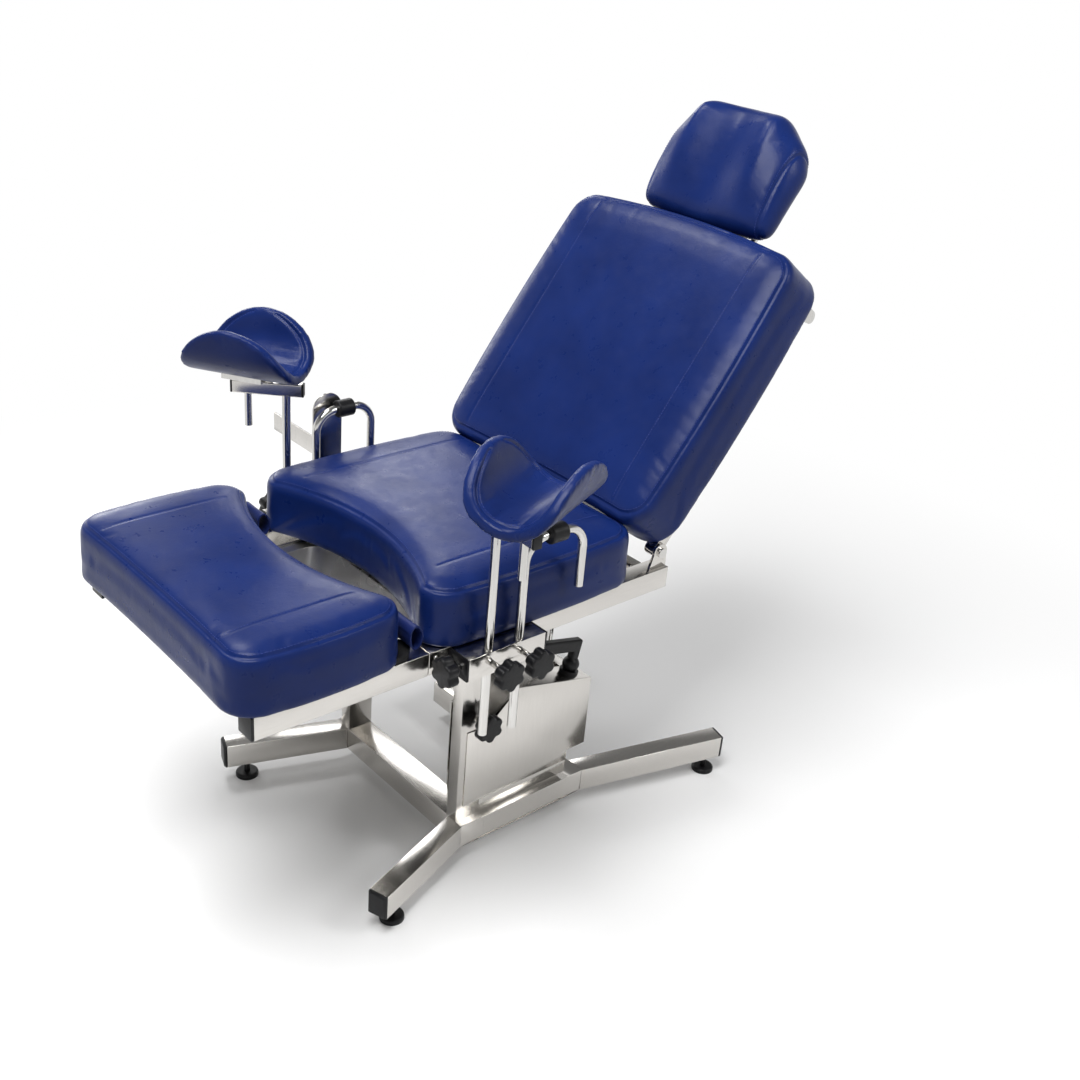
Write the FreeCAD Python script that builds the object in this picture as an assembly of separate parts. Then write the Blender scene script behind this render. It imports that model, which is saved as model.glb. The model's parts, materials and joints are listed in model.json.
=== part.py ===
"""Gynecological chair: welded steel base, tilting seat frame, pull-out leg section,
reclining back, headrest, two leg holders and two hand grips. Millimetres, +Z up.

X runs across the chair, +Y towards the head, Z up from the floor. The pieces are drawn
from the line of the front feet, and the whole chair is then moved so that its origin
lies on the floor under the middle of its box.
"""
import math
import os

import FreeCAD
import Part

Vec = FreeCAD.Vector

# base
tube_width = 40.0
tube_height = 50.0
tube_wall = 2.0
tube_floor_gap = 38.0
beam_centre_x = 193.0
cross_depth = 55.0
front_cross_y = 188.0
rear_cross_end_y = 497.0
front_splay_deg = 19.0
rear_splay_deg = 15.0
rear_foot_y = 805.0
front_leg_past_foot = 42.0
rear_leg_past_foot = 24.0
leg_cap_thickness = 7.0
foot_disc_radius = 23.0
foot_disc_height = 10.0
foot_stem_radius = 6.0
foot_nut_height = 8.0
foot_nut_radius = 11.0

# uprights and tilt shaft
upright_width = 28.0
upright_outer_x = 195.0
upright_top = 500.0
tilt_shaft_radius = 12.5
tilt_shaft_z = 470.0
pivot_plate_thickness = 8.0
pivot_plate_radius = 30.0

# drive housing
sheet = 2.0
housing_width = 100.0
housing_front_y = 203.0
housing_bottom_z = 118.0
housing_low_top_z = 286.0
housing_step_y = 256.0
housing_peak_y = 320.0
housing_peak_z = 343.0
housing_rear_y = 511.0
housing_rear_z = 298.0
housing_rear_bottom_z = 142.0
housing_notch_y = 464.0
plinth_side_top = 126.0

# gas spring of the seat tilt
spring_inset = 28.0
spring_foot_y = 440.0
spring_foot_z = 130.0
spring_head_y = 470.0
spring_head_z = 500.0
spring_body_radius = 14.0
spring_body_length = 205.0
spring_rod_radius = 5.0
spring_eye_radius = 13.0
spring_eye_width = 14.0
spring_pin_radius = 5.0
spring_head_play = 3.5
spring_lug_thickness = 6.0
spring_lug_reach = 14.0
spring_travel_deg = 10.0
cover_slot_width = 34.0
cover_slot_length = 46.0

# release lever on the housing
lever_y = 474.0
lever_inset = 27.0
lever_disc_radius = 19.0
lever_disc_height = 8.0
lever_ball_radius = 17.0
lever_post_height = 62.0
lever_arm_length = 96.0
lever_arm_height = 26.0
lever_arm_width = 18.0

# seat frame
rail_from_edge = 14.0
rail_width = 40.0
rail_height = 43.0
rail_wall = 2.5
rail_top = 556.0
leg_seam_y = 42.0
seam_gap = 1.0
seat_rail_end_y = 603.0
leg_rail_front_y = -281.0
member_height = 30.0
member_depth = 30.0
front_member_y = 140.0
spring_member_y = 455.0
rear_member_y = 540.0
spigot_length = 150.0
slide_play = 0.3
running_play = 0.05
rail_cap_thickness = 5.0

# boards and cushions of the seat and leg sections
cushion_half_width = 290.0
board_thickness = 12.0
board_inset = 16.0
skirt_gap = 1.0
side_height = 78.0
cushion_height = 102.0
side_bow = 6.0
end_draw = 4.0
# rolled lower edge, and shares of the crown's rise: height reached and inset there
pad_roll_inset = 0.03
pad_roll_height = 0.06
crown_levels = ((0.50, 0.20), (0.76, 0.70), (0.92, 1.60), (1.00, 3.00))
corner_radius = 58.0
seat_front_y = 46.0
seat_rear_y = 505.0
seat_cut_depth = 60.0
leg_front_y = -316.0
leg_rear_y = 0.0
leg_cut_depth = 57.0

# leatherette loops between the two sections
loop_from_edge = 20.0
loop_length = 62.0
loop_width = 28.0
loop_height = 46.0
loop_wall = 3.5

# basin under the gap
basin_half_width = 165.0
basin_front_y = -125.0
basin_rear_y = 118.0
basin_rim_z = 546.0
basin_depth = 140.0
basin_wall = 1.5
basin_corner = 40.0
basin_taper = 26.0
basin_rim_width = 22.0
runner_size = 20.0
runner_wall = 3.0
runner_front_y = -120.0

# clamp blocks on the seat rails
block_width = 52.0
block_height = 42.0
block_drop = 1.0
block_wall = 2.5
block_front_y = 86.0
block_length = 164.0
block_cap_thickness = 4.0
rod_radius = 8.0
stem_radius = 7.0
rod_from_face = 12.0
holder_rod_y = 134.0
grip_rod_y = 200.0
holder_rod_bottom = 385.0

# star knobs
knob_radius = 29.0
knob_thickness = 22.0
knob_scallop_radius = 9.0
knob_scallop_count = 6
knob_hub_radius = 11.0
knob_hub_length = 10.0
spindle_radius = 5.0
side_spindle_length = 24.0
end_spindle_length = 8.0
end_knob_offset = 6.0
tilt_knob_y = 228.0
tilt_knob_z = 305.0

# hand grips
grip_top_z = 737.0
grip_reach = 128.0
grip_bend = 42.0
grip_free_end_z = 618.0
grip_bottom = 375.0
grip_collar_radius = 17.0
grip_collar_length = 36.0

# leg holders
bar_bottom = 788.0
bar_height = 25.0
bar_width = 18.0
bar_behind_rod = 30.0
bar_length = 100.0
bar_cap_thickness = 4.0
bar_socket_depth = 18.0
stem_offset = 72.0
stem_hang = 66.0
stem_flange_radius = 16.0
stem_flange_height = 5.0
saddle_plate_length = 56.0
saddle_plate_width = 80.0
saddle_plate_thickness = 5.0
cradle_inner_radius = 64.0
cradle_wall = 20.0
cradle_half_angle_deg = 78.0
cradle_length = 218.0
cradle_height = 108.0
cradle_shoulder = 24.0
right_cradle_ahead = 24.0
left_cradle_ahead = 2.2
right_swivel_deg = 3.0
left_swivel_deg = 48.0
right_cradle_turn_deg = 25.0
left_cradle_turn_deg = 104.0

# side bracket behind the left hand grip
bracket_thickness = 4.0
bracket_gap = 8.0
bracket_front_y = 206.0
bracket_foot_y = 234.0
bracket_width = 66.0
bracket_top_z = 765.0
bracket_neck_z = 600.0
bracket_arm_length = 145.0
bracket_arm_height = 38.0
bracket_arm_top_z = 680.0

# back section
back_angle_deg = 53.0
back_seam_y = 533.0
back_seam_z = 714.0
back_overhang = 5.0
back_low = -61.0
back_high = 511.0
back_side_height = 93.0
back_height = 119.0
back_corner = 60.0
back_top_swell = 12.0
back_skirt = 4.0
back_bar_size = 25.0
back_pivot_along = -70.0
back_bar_end = 420.0
back_low_member = 20.0
back_high_member = 300.0
hinge_pin_radius = 6.0
hinge_plate_thickness = 6.0
hinge_plate_gap = 1.0
hinge_plate_length = 44.0
hinge_plate_radius = 17.0
roll_along = 462.0
roll_reach = 50.0
roll_arm_inset = 45.0
roll_arm_thickness = 6.0
roll_arm_width = 26.0
roll_bar_radius = 6.0

# headrest
head_half_width = 166.0
head_low = 529.0
head_length = 240.0
head_back_depth = 75.0
head_board_thickness = 8.0
head_low_thickness = 72.0
head_high_thickness = 122.0
head_roll = 22.0
head_back_roll = 48.0
head_side_roll = 50.0
head_board_inset = 26.0
# shares: half width, cut from the lower and upper ends, thickness at the lower and upper ends
head_stations = (
    (1.00, 0.06, 0.36, 0.62, 0.36),
    (0.90, 0.02, 0.17, 0.92, 0.62),
    (0.58, 0.00, 0.03, 1.00, 0.90),
)
head_trough = (0.0, 0.0, 0.0, 0.86, 0.84)
post_offset = 70.0
post_radius = 7.0
post_low = 335.0
guide_low = 425.0
guide_length = 60.0
guide_size = 26.0
head_plate_thickness = 8.0
head_plate_along = 612.0

# derived places
tube_top = tube_floor_gap + tube_height
beam_outer_x = beam_centre_x + tube_width / 2
front_cross_back_y = front_cross_y + cross_depth
rear_cross_y = rear_cross_end_y - cross_depth
upright_y = front_cross_y + cross_depth / 2
rail_outer_x = cushion_half_width - rail_from_edge
rail_inner_x = rail_outer_x - rail_width
loop_outer_x = cushion_half_width - loop_from_edge
back_half_width = cushion_half_width + back_overhang
roll_arm_x = back_half_width - roll_arm_inset
rail_bottom = rail_top - rail_height
board_top = rail_top + board_thickness
skirt = board_thickness - skirt_gap
housing_near_x = upright_outer_x
housing_far_x = housing_near_x - housing_width
spring_x = housing_far_x + spring_inset
lever_x = housing_near_x - lever_inset
block_outer_x = rail_outer_x + block_width
block_bottom = rail_top - block_drop - block_height
block_mid_z = block_bottom + block_height / 2
block_rear_y = block_front_y + block_length
rod_x = block_outer_x - rod_from_face
bar_top = bar_bottom + bar_height
saddle_plate_z = bar_top + slide_play + stem_flange_height
cradle_bottom = saddle_plate_z + saddle_plate_thickness
cradle_outer_radius = cradle_inner_radius + cradle_wall
back_board_front = back_side_height
back_bar_middle = back_side_height + board_thickness + back_bar_size / 2
sides = (1, -1)


def box(x0, x1, y0, y1, z0, z1):
    """Block between two corners, given in any order."""
    low = Vec(min(x0, x1), min(y0, y1), min(z0, z1))
    return Part.makeBox(abs(x1 - x0), abs(y1 - y0), abs(z1 - z0), low)


def rod(start, end, radius):
    """Round bar from one point to another."""
    run = end - start
    return Part.makeCylinder(radius, run.Length, start, run)


def prism(points, run):
    """Closed polygon pushed along a vector."""
    return Part.Face(Part.makePolygon(points + points[:1])).extrude(run)


def arc(a, b, c):
    """Circular arc through three points."""
    return Part.Arc(a, b, c).toShape()


def line(a, b):
    """Straight edge."""
    return Part.LineSegment(a, b).toShape()


def mirrored(shape, side):
    """The right-hand shape for +1, its mirror image in the middle plane for -1."""
    if side > 0:
        return shape
    return shape.mirror(Vec(0, 0, 0), Vec(1, 0, 0))


def both_sides(shape):
    """A right-hand piece and its left-hand twin, as separate solids."""
    return [mirrored(shape, side) for side in sides]


def round_edges(shape, radius, picks):
    """Fillet of the edges that a test picks."""
    return shape.makeFillet(radius, [edge for edge in shape.Edges if picks(edge)])


def edge_along(axis):
    """Test for straight edges along one axis."""
    def picks(edge):
        run = edge.Vertexes[-1].Point - edge.Vertexes[0].Point
        return run.Length > 0 and abs(abs(run.dot(axis)) / run.Length - 1) < 1e-6
    return picks


def tube(x0, x1, y0, y1, z0, z1, wall, axis):
    """Rectangular hollow section, open at both ends along the axis."""
    grow = {"x": (0, wall, wall), "y": (wall, 0, wall), "z": (wall, wall, 0)}[axis]
    inner = box(x0 + grow[0], x1 - grow[0], y0 + grow[1], y1 - grow[1], z0 + grow[2], z1 - grow[2])
    return box(x0, x1, y0, y1, z0, z1).cut(inner)


def pad_outline(half_width, low, high, radius, low_dip, high_dip, inset, height):
    """Cushion outline at one height: rounded corners, bowed sides, ends dipped."""
    wide = half_width - inset
    y0 = low + inset
    y1 = high - inset
    turn = max(radius - inset, radius / 6)
    slack = turn * (1 - math.sqrt(0.5))
    mid = (y0 + y1) / 2

    def at(x, y):
        return Vec(x, y, height)

    edges = [
        arc(at(wide, y0 + turn), at(wide + side_bow, mid), at(wide, y1 - turn)),
        arc(at(wide, y1 - turn), at(wide - slack, y1 - slack), at(wide - turn, y1)),
        arc(at(wide - turn, y1), at(0, y1 - high_dip), at(turn - wide, y1)),
        arc(at(turn - wide, y1), at(slack - wide, y1 - slack), at(-wide, y1 - turn)),
        arc(at(-wide, y1 - turn), at(-wide - side_bow, mid), at(-wide, y0 + turn)),
        arc(at(-wide, y0 + turn), at(slack - wide, y0 + slack), at(turn - wide, y0)),
        arc(at(turn - wide, y0), at(0, y0 + low_dip), at(wide - turn, y0)),
        arc(at(wide - turn, y0), at(wide - slack, y0 + slack), at(wide, y0 + turn)),
    ]
    return Part.Wire(edges)


def pad(half_width, low, high, radius, low_dip, high_dip, side, height):
    """Crowned cushion lying on Z = 0: rolled edges, upright sides and a domed top."""
    crown = height - side
    levels = [(0, side * pad_roll_inset), (side * pad_roll_height, 0), (side, 0)]
    levels += [(side + crown * rise, crown * inset) for rise, inset in crown_levels]
    rings = []
    for z, inset in levels:
        rings.append(pad_outline(half_width, low, high, radius, low_dip, high_dip, inset, z))
    return Part.makeLoft(rings, True, True)


def lifted(shape, height):
    """Copy of a shape moved up."""
    return shape.translated(Vec(0, 0, height))


# base

def splayed_leg(joint_y, foot_y, splay_deg, past_foot):
    """Right-hand leg from a cross beam to past its foot, with its cap and its foot point."""
    ahead = 1 if foot_y > joint_y else -1
    splay = math.radians(splay_deg)
    run = Vec(math.sin(splay), ahead * math.cos(splay), 0)
    across = Vec(run.y, -run.x, 0)
    root = Vec(beam_centre_x, joint_y, tube_floor_gap)
    foot = root + run * (abs(foot_y - joint_y) / math.cos(splay))
    tip = foot + run * past_foot

    def section(half, low, high):
        corners = []
        for sign in sides:
            start = root + across * (half * sign)
            corners.append(start + run * ((joint_y - start.y) / run.y))
        points = [corners[0], tip + across * half, tip - across * half, corners[1]]
        outline = [Vec(p.x, p.y, low) for p in points]
        return prism(outline, Vec(0, 0, high - low))

    half = tube_width / 2
    outer = section(half, tube_floor_gap, tube_top)
    inner = section(half - tube_wall, tube_floor_gap + tube_wall, tube_top - tube_wall)
    cap_points = [tip + across * half, tip - across * half]
    cap_points += [p + run * leg_cap_thickness for p in reversed(cap_points)]
    cap = prism(cap_points, Vec(0, 0, tube_height))
    far_face = tip + run * leg_cap_thickness
    cap = round_edges(cap, leg_cap_thickness * 0.8, lambda e: on_plane(e, far_face, run))
    return outer.cut(inner), cap, foot


def on_plane(edge, point, normal):
    """True where a whole edge lies on a plane."""
    return all(abs((v.Point - point).dot(normal)) < 1e-4 for v in edge.Vertexes)


def levelling_foot(place):
    """Disc foot on a stem with its lock nut against the tube."""
    disc = Part.makeCylinder(foot_disc_radius, foot_disc_height, Vec(place.x, place.y, 0))
    rim = [e for e in disc.Edges if on_plane(e, Vec(0, 0, foot_disc_height), Vec(0, 0, 1))]
    disc = disc.makeFillet(foot_disc_height * 0.5, rim)
    stem = Part.makeCylinder(foot_stem_radius, tube_floor_gap, Vec(place.x, place.y, 0))
    nut_low = tube_floor_gap - foot_nut_height
    ring = []
    for corner in range(6):
        turn = math.radians(60 * corner)
        reach = Vec(math.cos(turn), math.sin(turn), 0) * foot_nut_radius
        ring.append(Vec(place.x, place.y, nut_low) + reach)
    nut = prism(ring, Vec(0, 0, foot_nut_height))
    return disc.fuse([stem, nut]).removeSplitter()


def closed_tube(y0, y1):
    """Cross beam of the base with a wall welded over each end."""
    cross = tube(-beam_outer_x, beam_outer_x, y0, y1, tube_floor_gap, tube_top, tube_wall, "x")
    wall = box(beam_outer_x - tube_wall, beam_outer_x, y0, y1, tube_floor_gap, tube_top)
    return cross.fuse(both_sides(wall)).removeSplitter()


def base_parts():
    """Beams, legs, caps, feet, uprights and the tilt shaft."""
    front_cross = closed_tube(front_cross_y, front_cross_back_y)
    rear_cross = closed_tube(rear_cross_y, rear_cross_end_y)
    side_beam = tube(beam_outer_x - tube_width, beam_outer_x, front_cross_back_y, rear_cross_y,
                     tube_floor_gap, tube_top, tube_wall, "y")
    legs = []
    caps = []
    feet = []
    corners = (
        (front_cross_y, 0.0, front_splay_deg, front_leg_past_foot),
        (rear_cross_end_y, rear_foot_y, rear_splay_deg, rear_leg_past_foot),
    )
    for joint_y, foot_y, splay, past_foot in corners:
        leg, cap, foot = splayed_leg(joint_y, foot_y, splay, past_foot)
        legs += both_sides(leg)
        caps += both_sides(cap)
        feet += both_sides(levelling_foot(foot))
    upright = tube(upright_outer_x - upright_width, upright_outer_x, front_cross_y, front_cross_back_y,
                   tube_top, upright_top, tube_wall, "z")
    shaft_end = Vec(rail_inner_x, upright_y, tilt_shaft_z)
    bore = rod(Vec(0, upright_y, tilt_shaft_z), shaft_end, tilt_shaft_radius + running_play)
    shaft = rod(Vec(-shaft_end.x, upright_y, tilt_shaft_z), shaft_end, tilt_shaft_radius)
    bored = upright.cut(bore)
    screw_start = Vec(upright_outer_x - upright_width / 2, tilt_knob_y, tilt_knob_z)
    screw_hole = rod(screw_start, screw_start + Vec(upright_width, 0, 0), spindle_radius + running_play)
    return {
        "base_beams": [front_cross, side_beam, rear_cross],
        "base_legs": legs,
        "leg_end_caps": caps,
        "levelling_feet": feet,
        "uprights": [bored.cut(screw_hole), mirrored(bored, -1)],
        "tilt_shaft": [shaft],
    }


# drive housing, gas spring and release lever

def housing_outline():
    """Side view of the housing panels as (y, z) corners, from the front bottom round the top."""
    return [
        (housing_front_y, housing_bottom_z),
        (housing_front_y, housing_low_top_z),
        (housing_step_y, housing_low_top_z),
        (housing_peak_y, housing_peak_z),
        (housing_rear_y, housing_rear_z),
        (housing_rear_y, housing_rear_bottom_z),
        (housing_notch_y, housing_rear_bottom_z),
        (housing_notch_y, housing_bottom_z),
    ]


def cover_slope():
    """Unit run and outward normal of the housing's long top face."""
    run = Vec(0, housing_rear_y - housing_peak_y, housing_rear_z - housing_peak_z)
    run.normalize()
    return run, Vec(0, -run.z, run.y)


def cover_point(x, y):
    """Point on the housing's long top face."""
    run, normal = cover_slope()
    rise = run.z / run.y
    return Vec(x, y, housing_peak_z + (y - housing_peak_y) * rise)


def housing_parts():
    """Side panels, folded cover and plinth."""
    corners = housing_outline()
    near = prism([Vec(housing_near_x, y, z) for y, z in corners], Vec(sheet, 0, 0))
    far_corners = [(max(y, front_cross_back_y), z) for y, z in corners]
    far = prism([Vec(housing_far_x, y, z) for y, z in far_corners], Vec(-sheet, 0, 0))
    whole = prism([Vec(housing_far_x, y, z) for y, z in far_corners], Vec(housing_width, 0, 0))
    core = whole.translated(Vec(0, 0, -sheet))
    back_strip = box(housing_far_x, housing_near_x, housing_rear_y - sheet, housing_rear_y,
                     housing_rear_bottom_z, housing_rear_z)
    cover = whole.cut(core)
    floor_cut = box(housing_far_x, housing_near_x, 0, housing_rear_y * 2, 0, housing_low_top_z - 2 * sheet)
    cover = cover.cut(floor_cut).fuse(back_strip.common(whole)).removeSplitter()
    slot_middle = spring_line_at(cover_point(spring_x, spring_head_y).z)
    slot = box(spring_x - cover_slot_width / 2, spring_x + cover_slot_width / 2,
               slot_middle - cover_slot_length / 2, slot_middle + cover_slot_length / 2,
               housing_rear_bottom_z, housing_peak_z * 2)
    cover = cover.cut(slot)
    plinth_y0 = front_cross_back_y
    plinth_y1 = housing_notch_y
    plinth = box(housing_far_x, housing_near_x, plinth_y0, plinth_y1, tube_top, plinth_side_top)
    hollow = box(housing_far_x + sheet, housing_near_x - sheet, plinth_y0, plinth_y1,
                 tube_top + sheet, plinth_side_top)
    spring, bracket = spring_solids()
    return {
        "housing_panels": [near, far],
        "housing_cover": [cover],
        "housing_plinth": [plinth.cut(hollow), bracket],
        **spring,
    }


def spring_line_at(z):
    """Y of the gas spring's axis at one height."""
    share = (z - spring_foot_z) / (spring_head_z - spring_foot_z)
    return spring_foot_y + share * (spring_head_y - spring_foot_y)


def spring_solids():
    """Gas spring body and rod with their eyes, and the foot bracket on the plinth."""
    foot = Vec(spring_x, spring_foot_y, spring_foot_z)
    head = Vec(spring_x, spring_head_y, spring_head_z)
    run = head - foot
    run.normalize()
    half = Vec(spring_eye_width / 2, 0, 0)
    foot_eye = rod(foot - half, foot + half, spring_eye_radius)
    body = rod(foot + run * spring_eye_radius * 1.6, foot + run * spring_body_length, spring_body_radius)
    neck = rod(foot, foot + run * spring_eye_radius * 2, spring_rod_radius)
    bore = rod(foot + run * spring_body_radius * 2, foot + run * spring_body_length * 2,
               spring_rod_radius + running_play)
    foot_hole = rod(foot - half * 2, foot + half * 2, spring_pin_radius + running_play)
    cylinder = body.fuse([neck, foot_eye]).removeSplitter().cut(bore).cut(foot_hole)
    head_eye = rod(head - half, head + half, spring_eye_radius)
    inner_end = foot + run * (spring_body_radius * 2 + slide_play + spring_rod_travel())
    stem = rod(inner_end, head, spring_rod_radius)
    head_hole = rod(head - half * 2, head + half * 2, spring_pin_radius + spring_head_play)
    piston = stem.fuse(head_eye).removeSplitter().cut(head_hole)
    lug_x = spring_eye_width / 2 + slide_play
    bracket = []
    for side in sides:
        inner = spring_x + side * lug_x
        lug = box(inner, inner + side * spring_lug_thickness, spring_foot_y - spring_eye_radius,
                  spring_foot_y + spring_eye_radius, tube_top + sheet, spring_foot_z + spring_eye_radius)
        bracket.append(lug)
    pin_half = Vec(lug_x + spring_lug_thickness, 0, 0)
    pin = rod(foot - pin_half, foot + pin_half, spring_pin_radius)
    bracket = bracket[0].fuse([bracket[1], pin]).removeSplitter()
    return {"gas_spring_body": [cylinder], "gas_spring_rod": [piston]}, bracket


def spring_rod_travel():
    """Room kept under the piston for the seat's way down."""
    return (spring_head_y - upright_y) * math.sin(math.radians(spring_travel_deg))


def lever_part():
    """Release lever: round foot, ball, post and a flat arm towards the front."""
    foot = Part.makeCylinder(lever_disc_radius, lever_disc_height)
    ball = Part.makeSphere(lever_ball_radius, Vec(0, 0, lever_disc_height + lever_ball_radius * 0.7))
    half = lever_arm_width / 2
    post = box(-half, half, -half, half, lever_disc_height, lever_post_height + lever_arm_height / 2)
    arm = box(-half, half, half, -lever_arm_length, lever_post_height - lever_arm_height / 2,
              lever_post_height + lever_arm_height / 2)
    body = round_edges(post.fuse(arm).removeSplitter(), half * 0.5, lambda e: True)
    lever = foot.fuse([ball, body]).removeSplitter()
    run, normal = cover_slope()
    lever.rotate(Vec(0, 0, 0), Vec(1, 0, 0), math.degrees(math.atan2(run.z, run.y)))
    lever.translate(cover_point(lever_x, lever_y))
    return {"release_lever": [lever]}


# star knobs

def star_knob(spindle):
    """Star knob on its spindle, pointing along +Z from the spindle's inner end."""
    hub = Part.makeCylinder(knob_hub_radius, knob_hub_length, Vec(0, 0, spindle))
    head_z = spindle + knob_hub_length
    head = Part.makeCylinder(knob_radius, knob_thickness, Vec(0, 0, head_z))
    rim = head_z + knob_thickness
    head = round_edges(head, knob_thickness * 0.2, lambda e: on_plane(e, Vec(0, 0, rim), Vec(0, 0, 1)))
    for count in range(knob_scallop_count):
        turn = 2 * math.pi * count / knob_scallop_count
        reach = knob_radius + knob_scallop_radius * 0.35
        place = Vec(reach * math.cos(turn), reach * math.sin(turn), head_z)
        head = head.cut(Part.makeCylinder(knob_scallop_radius, knob_thickness, place))
    stem = Part.makeCylinder(spindle_radius, spindle)
    return head.fuse([hub, stem]).removeSplitter()


def placed_knob(spindle, place, axis):
    """Star knob with its spindle's inner end at a place."""
    knob = star_knob(spindle)
    knob.Placement = FreeCAD.Placement(place, FreeCAD.Rotation(Vec(0, 0, 1), axis))
    return knob


def knob_parts():
    """Clamp knobs of the rods, of the blocks and of the tilt."""
    reach = rod_from_face - rod_radius - slide_play
    parts = {}
    names = {1: "right", -1: "left"}
    for side in sides:
        word = names[side]
        for name, y in (("holder", holder_rod_y), ("grip", grip_rod_y)):
            start = Vec(side * (block_outer_x - reach), y, block_mid_z)
            parts[name + "_knob_" + word] = [placed_knob(reach + side_spindle_length, start, Vec(side, 0, 0))]
        start = Vec(side * end_knob_x(), block_front_y, block_mid_z)
        reach_out = block_cap_thickness + end_spindle_length
        parts["block_knob_" + word] = [placed_knob(reach_out, start, Vec(0, -1, 0))]
    start = Vec(upright_outer_x - tube_wall, tilt_knob_y, tilt_knob_z)
    parts["tilt_knob"] = [placed_knob(tube_wall + end_spindle_length, start, Vec(1, 0, 0))]
    return parts


def end_knob_x():
    """Distance of the block's end knob from the middle plane."""
    return rail_outer_x + block_width / 2 + end_knob_offset


# seat section

def seat_frame_parts():
    """Rails, cross members, pivot plates and the lugs of the gas spring."""
    rail = tube(rail_inner_x, rail_outer_x, leg_seam_y + seam_gap, seat_rail_end_y,
                rail_bottom, rail_top, rail_wall, "y")
    end_wall = box(rail_inner_x + rail_wall, rail_outer_x - rail_wall, seat_rail_end_y - rail_wall,
                   seat_rail_end_y, rail_bottom + rail_wall, rail_top - rail_wall)
    rail = rail.fuse(end_wall).removeSplitter()
    member_low = rail_top - member_height
    members = []
    for y in (front_member_y, spring_member_y, rear_member_y):
        member = tube(-rail_inner_x, rail_inner_x, y, y + member_depth, member_low, rail_top, tube_wall, "x")
        members.append(member)
    lug_x = spring_eye_width / 2 + slide_play
    pin_half = Vec(lug_x + spring_lug_thickness, 0, 0)
    head = Vec(spring_x, spring_head_y, spring_head_z)
    lugs = rod(head - pin_half, head + pin_half, spring_pin_radius)
    for side in sides:
        inner = spring_x + side * lug_x
        lug = box(inner, inner + side * spring_lug_thickness, spring_head_y - spring_lug_reach,
                  spring_head_y + spring_lug_reach, spring_head_z - spring_lug_reach, member_low)
        lugs = lugs.fuse(lug)
    plate_x = rail_inner_x - pivot_plate_thickness
    shaft = Vec(plate_x, upright_y, tilt_shaft_z)
    across = Vec(pivot_plate_thickness, 0, 0)
    plate = box(plate_x, rail_inner_x, upright_y - pivot_plate_radius, upright_y + pivot_plate_radius,
                tilt_shaft_z, rail_top - rail_wall)
    plate = plate.fuse(rod(shaft, shaft + across, pivot_plate_radius)).removeSplitter()
    plate = plate.cut(rod(shaft - across, shaft + across * 2, tilt_shaft_radius + running_play))
    return {
        "seat_rails": both_sides(rail),
        "seat_cross_members": members + [lugs.removeSplitter()],
        "pivot_plates": both_sides(plate),
    }


def seat_soft_parts():
    """Seat board and the seat cushion that reaches down around it, both cut out at the front."""
    wire = pad_outline(cushion_half_width, seat_front_y, seat_rear_y, corner_radius,
                       seat_cut_depth, end_draw, board_inset, rail_top)
    board = Part.Face(wire).extrude(Vec(0, 0, board_thickness))
    cushion = pad(cushion_half_width, seat_front_y, seat_rear_y, corner_radius,
                  seat_cut_depth, end_draw, side_height + skirt, cushion_height + skirt)
    cushion = lifted(cushion, board_top - skirt).cut(board)
    return {"seat_board": [board], "seat_cushion": [cushion]}


def block_parts():
    """Clamp blocks with rod and screw holes, and their end caps."""
    block = tube(rail_outer_x, block_outer_x, block_front_y, block_rear_y,
                 block_bottom, block_bottom + block_height, block_wall, "y")
    for y in (holder_rod_y, grip_rod_y):
        through = rod(Vec(rod_x, y, 0), Vec(rod_x, y, rail_top), rod_radius + running_play)
        screw = rod(Vec(rod_x, y, block_mid_z), Vec(block_outer_x * 2, y, block_mid_z),
                    spindle_radius + running_play)
        block = block.cut(through).cut(screw)
    front_cap = box(rail_outer_x, block_outer_x, block_front_y - block_cap_thickness, block_front_y,
                    block_bottom, block_bottom + block_height)
    hole = rod(Vec(end_knob_x(), 0, block_mid_z), Vec(end_knob_x(), block_rear_y, block_mid_z),
               spindle_radius + running_play)
    rear_cap = box(rail_outer_x, block_outer_x, block_rear_y, block_rear_y + block_cap_thickness,
                   block_bottom, block_bottom + block_height)
    soft = block_cap_thickness * 0.45
    caps = [round_edges(front_cap, soft, edge_along(Vec(0, 1, 0))).cut(hole)]
    caps.append(round_edges(rear_cap, soft, edge_along(Vec(0, 1, 0))))
    return {
        "clamp_blocks": both_sides(block),
        "block_caps": both_sides(caps[0]) + both_sides(caps[1]),
    }


def rounded_rect(half_width, low, high, radius, z):
    """Rectangle with quarter-round corners at one height."""
    slack = radius * (1 - math.sqrt(0.5))
    w = half_width

    def at(x, y):
        return Vec(x, y, z)

    edges = [
        line(at(w, low + radius), at(w, high - radius)),
        arc(at(w, high - radius), at(w - slack, high - slack), at(w - radius, high)),
        line(at(w - radius, high), at(radius - w, high)),
        arc(at(radius - w, high), at(slack - w, high - slack), at(-w, high - radius)),
        line(at(-w, high - radius), at(-w, low + radius)),
        arc(at(-w, low + radius), at(slack - w, low + slack), at(radius - w, low)),
        line(at(radius - w, low), at(w - radius, low)),
        arc(at(w - radius, low), at(w - slack, low + slack), at(w, low + radius)),
    ]
    return Part.Wire(edges)


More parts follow.
